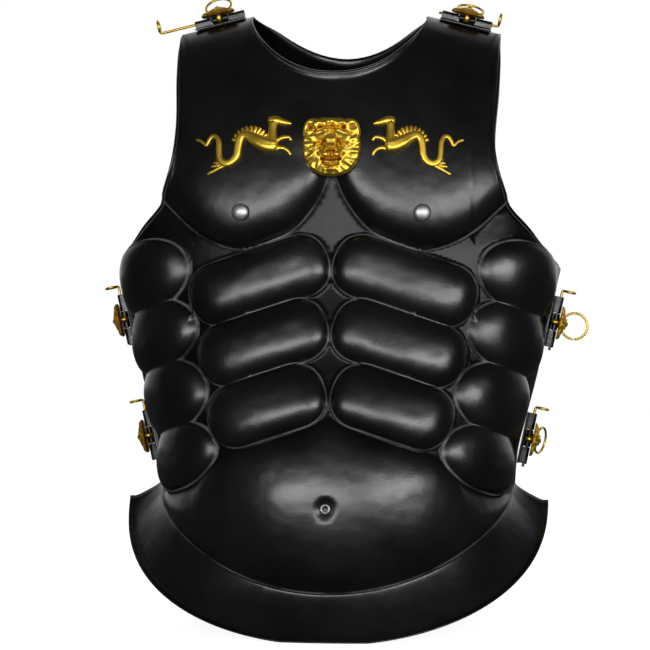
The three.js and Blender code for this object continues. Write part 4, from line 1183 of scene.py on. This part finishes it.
CAMERA_TURN = math.radians(4.6)
CAMERA_ROLL = math.radians(0.35)
CAMERA_DISTANCE = 2.6
CAMERA_HEIGHT = 0.2805
CAMERA_ASIDE = -0.0133
FIELD_WIDTH = 0.611  # metres that the view takes in at the object
SENSOR_WIDTH = 36.0
LIGHT_AIM = 0.3  # height that the soft lights face
DIM_ROOM = (grey(0.05), grey(1), 0.2, 0.8)  # from before the object to behind it
FLOOR_HALF = 6.0
FLOOR_TONE = grey(0.12)
FLOOR_SEEN = grey(0.9)
FLOOR_GLOW = 0.86
# turn to the right of the camera, height over it, distance, width, height, brightness
SOFTBOXES = {
    "key strip": (30, 7.5, 3.2, 1.9, 0.5, 11.0),
    "fill strip": (-15, 6, 3.2, 2.8, 0.48, 9.5),
    "front wash": (0, 8, 3.6, 5.0, 1.8, 0.32),
}


def direction(turn, height):
    """A level turn to the right of the camera and a height over it, as a direction."""
    turn, height = math.radians(turn), math.radians(height)
    sideways = Vector((math.cos(CAMERA_TURN), math.sin(CAMERA_TURN), 0))
    backward = Vector((math.sin(CAMERA_TURN), -math.cos(CAMERA_TURN), 0))
    level = sideways * math.sin(turn) + backward * math.cos(turn)
    return level * math.cos(height) + Vector((0, 0, math.sin(height)))


def softbox(name, turn, height, distance, width, tall, brightness):
    """A flat soft light of a given brightness, facing the middle of the object."""
    light = bpy.data.lights.new(name, "AREA")
    light.shape = "RECTANGLE"
    light.size = width
    light.size_y = tall
    light.energy = brightness * math.pi * width * tall
    lamp = bpy.data.objects.new(name, light)
    middle = Vector((ORIGIN[0], ORIGIN[1], LIGHT_AIM))
    toward = direction(turn, height)
    lamp.location = middle + toward * distance
    lamp.rotation_euler = toward.to_track_quat("Z", "Y").to_euler()
    bpy.context.scene.collection.objects.link(lamp)


def seen_and_felt(tree, seen, felt, output):
    """Puts out one shader to the camera and another one to every other ray."""
    path = add_node(tree, "ShaderNodeLightPath", {})
    mix = add_node(tree, "ShaderNodeMixShader", {
        "Fac": path.outputs["Is Camera Ray"], 1: felt, 2: seen,
    })
    feed(tree, tree.nodes[output], {"Surface": mix.outputs["Shader"]})


def room_light():
    """White surroundings behind the object, dim ones in front of it."""
    world = bpy.data.worlds.new("studio")
    bpy.context.scene.world = world
    world.use_nodes = True
    tree = world.node_tree
    backdrop = feed(tree, tree.nodes["Background"], {"Color": grey(1), "Strength": 1.0})
    around = add_node(tree, "ShaderNodeTexCoord", {})
    parts = add_node(tree, "ShaderNodeSeparateXYZ", {"Vector": around.outputs["Generated"]})
    glow = ramp_of(tree, parts.outputs["Y"], *DIM_ROOM)
    room = add_node(tree, "ShaderNodeBackground", {"Color": glow})
    seen_and_felt(tree, backdrop.outputs["Background"], room.outputs["Background"], "World Output")


def pale_floor():
    """A level floor, pale to the eye and dim in the paint's reflections."""
    builder = bmesh.new()
    bmesh.ops.create_grid(builder, x_segments=1, y_segments=1, size=FLOOR_HALF)
    mesh = bpy.data.meshes.new("floor")
    builder.to_mesh(mesh)
    builder.free()
    floor = bpy.data.objects.new("floor", mesh)
    bpy.context.scene.collection.objects.link(floor)
    material = bpy.data.materials.new("pale paper")
    material.use_nodes = True
    tree = material.node_tree
    shader = feed(tree, tree.nodes["Principled BSDF"], {
        "Base Color": FLOOR_TONE, "Roughness": 0.9, "Specular IOR Level": 0.0,
    })
    bright = add_node(tree, "ShaderNodeBsdfDiffuse", {"Color": FLOOR_SEEN})
    glow = add_node(tree, "ShaderNodeEmission", {"Strength": FLOOR_GLOW})
    both = add_node(tree, "ShaderNodeAddShader", {
        0: bright.outputs["BSDF"], 1: glow.outputs["Emission"],
    })
    seen_and_felt(tree, both.outputs["Shader"], shader.outputs["BSDF"], "Material Output")
    mesh.materials.append(material)


def camera():
    data = bpy.data.cameras.new("camera")
    data.sensor_width = SENSOR_WIDTH
    data.lens = SENSOR_WIDTH * CAMERA_DISTANCE / FIELD_WIDTH
    view = bpy.data.objects.new("camera", data)
    sideways = direction(90, 0)
    backward = direction(0, 0)
    aim = Vector((ORIGIN[0], ORIGIN[1], CAMERA_HEIGHT)) + sideways * CAMERA_ASIDE
    view.location = aim + backward * CAMERA_DISTANCE
    level = backward.to_track_quat("Z", "Y").to_matrix()
    view.rotation_euler = (level @ Matrix.Rotation(CAMERA_ROLL, 3, "Z")).to_euler()
    bpy.context.scene.collection.objects.link(view)
    bpy.context.scene.camera = view


def studio():
    bpy.context.scene.view_settings.view_transform = "Standard"
    room_light()
    pale_floor()
    camera()
    for name, values in SOFTBOXES.items():
        softbox(name, *values)


# ---- the assembly

def placed_piece(builder, name, axes, material, body, replaces):
    bmesh.ops.recalc_face_normals(builder, faces=builder.faces)
    builder.transform(axes)
    return finished(builder, name, material, body, replaces)


CHEST_LION = {"height": 440.0, "half_width": 26.4, "half_height": 26.8, "depth": 13.0,
              "cells": 130, "seat": (25.5, 26.0)}
EYELET = (
    (2.7, 0.2), (2.9, 0), (4.2, 0), (4.5, 0.4), (4.2, 1.2), (3.6, 1.4), (2.9, 1.2), (2.7, 0.2),
)
EYELET_RADIUS, EYELET_SEGMENTS = 4.5, 40
STUD = {"x": 79.5, "height": 382.0, "radius": 8.0, "foot": 7.4, "edge": (0.5, 1.2), "dome": 3.8,
        "segments": 48}


def seated(builder, name, place, half_size, material, replaces):
    """A fitting on its own flat seat on the chest."""
    axes = matrix_to_frame(flat_seat(*place, *half_size))
    placed_piece(builder, name, axes, material, "root", [replaces])


def add_stud(wearer, mirror):
    radius, (low, high) = STUD["radius"], STUD["edge"]
    angles = np.radians(np.linspace(0, 90, 12))
    dome = [(radius * math.cos(a), high + STUD["dome"] * math.sin(a)) for a in angles]
    dome[-1] = (0.0, high + STUD["dome"])
    builder = bmesh.new()
    spun(builder, [(0.0, 0.0), (STUD["foot"], 0.0), (radius, low)] + dome, "Z", STUD["segments"])
    seated(builder, f"stud_dome_{wearer}", (mirror * STUD["x"], STUD["height"]),
           (radius, radius), STEEL, f"stud_{wearer}")


def add_sea_horse(wearer, mirror):
    builder = bmesh.new()
    squeeze = SEA_HORSE_SQUEEZE[wearer]
    limb(builder, SEA_HORSE_BODY, mirror, squeeze, groove=SEA_HORSE_GROOVE)
    for rows in SEA_HORSE_LIMBS:
        limb(builder, rows, mirror, squeeze)
    x, z, inner, outer, first, last, count, width = SEA_HORSE_FAN
    ribs = ((inner, width * 0.8), ((inner + outer) / 2, width), (outer, width))
    for angle in np.radians(np.linspace(first, last, count)):
        rows = [(x + r * math.cos(angle), z + r * math.sin(angle), w) for r, w in ribs]
        limb(builder, rows, mirror, squeeze, steps=3)
    for vertex in builder.verts:
        vertex.co = to_frame(np.array(vertex.co))
    placed_piece(builder, f"sea_horse_casting_{wearer}", Matrix(), BRASS,
                 "root", [f"sea_horse_{wearer}"])


def add_chest_fittings():
    lion = CHEST_LION
    builder = bmesh.new()
    lion_relief(builder, lion["half_width"], lion["half_height"], lion["depth"], lion["cells"])
    seated(builder, "chest_lion_mask", (0.0, lion["height"]), lion["seat"],
           BRASS, "chest_lion")
    builder = bmesh.new()
    spun(builder, EYELET, "Z", EYELET_SEGMENTS)
    seated(builder, "navel_eyelet", (0.0, NAVEL_HEIGHT), (EYELET_RADIUS, EYELET_RADIUS),
           STEEL, "navel_ring")
    for wearer, mirror in (("right", -1), ("left", 1)):
        add_stud(wearer, mirror)
        add_sea_horse(wearer, mirror)


def add_hinge(name, eye, drawn, lean):
    axes = hinge_axes(name, eye)
    for side, toward in (("front", 1), ("back", -1)):
        node = f"{side}_leaf_{name}"
        builder = bmesh.new()
        underside = leaf_underside(node, axes, toward)
        hinge_leaf(builder, underside, toward)
        if toward > 0:
            under_post = underside[0] + leaf_slope(underside) * (POST["front"] - LEAF["near"])
            foot = under_post + LEAF["thickness"] + POST["clear"]
        leaf = placed_piece(builder, f"{side}_strap_{name}", axes, PLAIN_BLACK,
                            "root", [node])
        leaf.data.shade_flat()
    builder = bmesh.new()
    hinge_mask(builder, foot)
    placed_piece(builder, f"lion_mask_{name}", axes, BRASS, "root", [f"lion_{name}"])
    builder = bmesh.new()
    wire(builder, pin_path(eye, drawn), PIN["radius"])
    placed_piece(builder, f"pin_wire_{name}", axes, BRASS,
                 f"pin_{name}", [f"pin_{name}"])
    builder = bmesh.new()
    wire(builder, ring_path(), RING["wire"])
    mouth = Matrix.Translation((0, MOUTH["front"], MOUTH["out"]))
    place = axes @ mouth @ Matrix.Rotation(math.radians(lean), 4, "X")
    placed_piece(builder, f"pull_ring_{name}", place, BRASS,
                 f"ring_{name}", [f"ring_{name}"])


RIPPLE = surface_ripple()
PAINTED_HIGHLIGHT_LINE = painted_highlight_line_group()
# the plates' paint carries painted highlights along its creases and rims
BLACK_WITH_PAINTED_HIGHLIGHTS = painted_steel("satin black paint, worn at the edges", True)
PLAIN_BLACK = painted_steel("satin black paint", False)
BRASS = cast_brass()
STEEL = bright_steel()

plate("front", (30, 36, 42), 16, 205, 5, BLACK_WITH_PAINTED_HIGHLIGHTS)
plate("back", (16, 10, 30), 12, 90, 4, BLACK_WITH_PAINTED_HIGHLIGHTS)
add_chest_fittings()
for hinge, values in HINGES.items():
    add_hinge(hinge, *values)
studio()
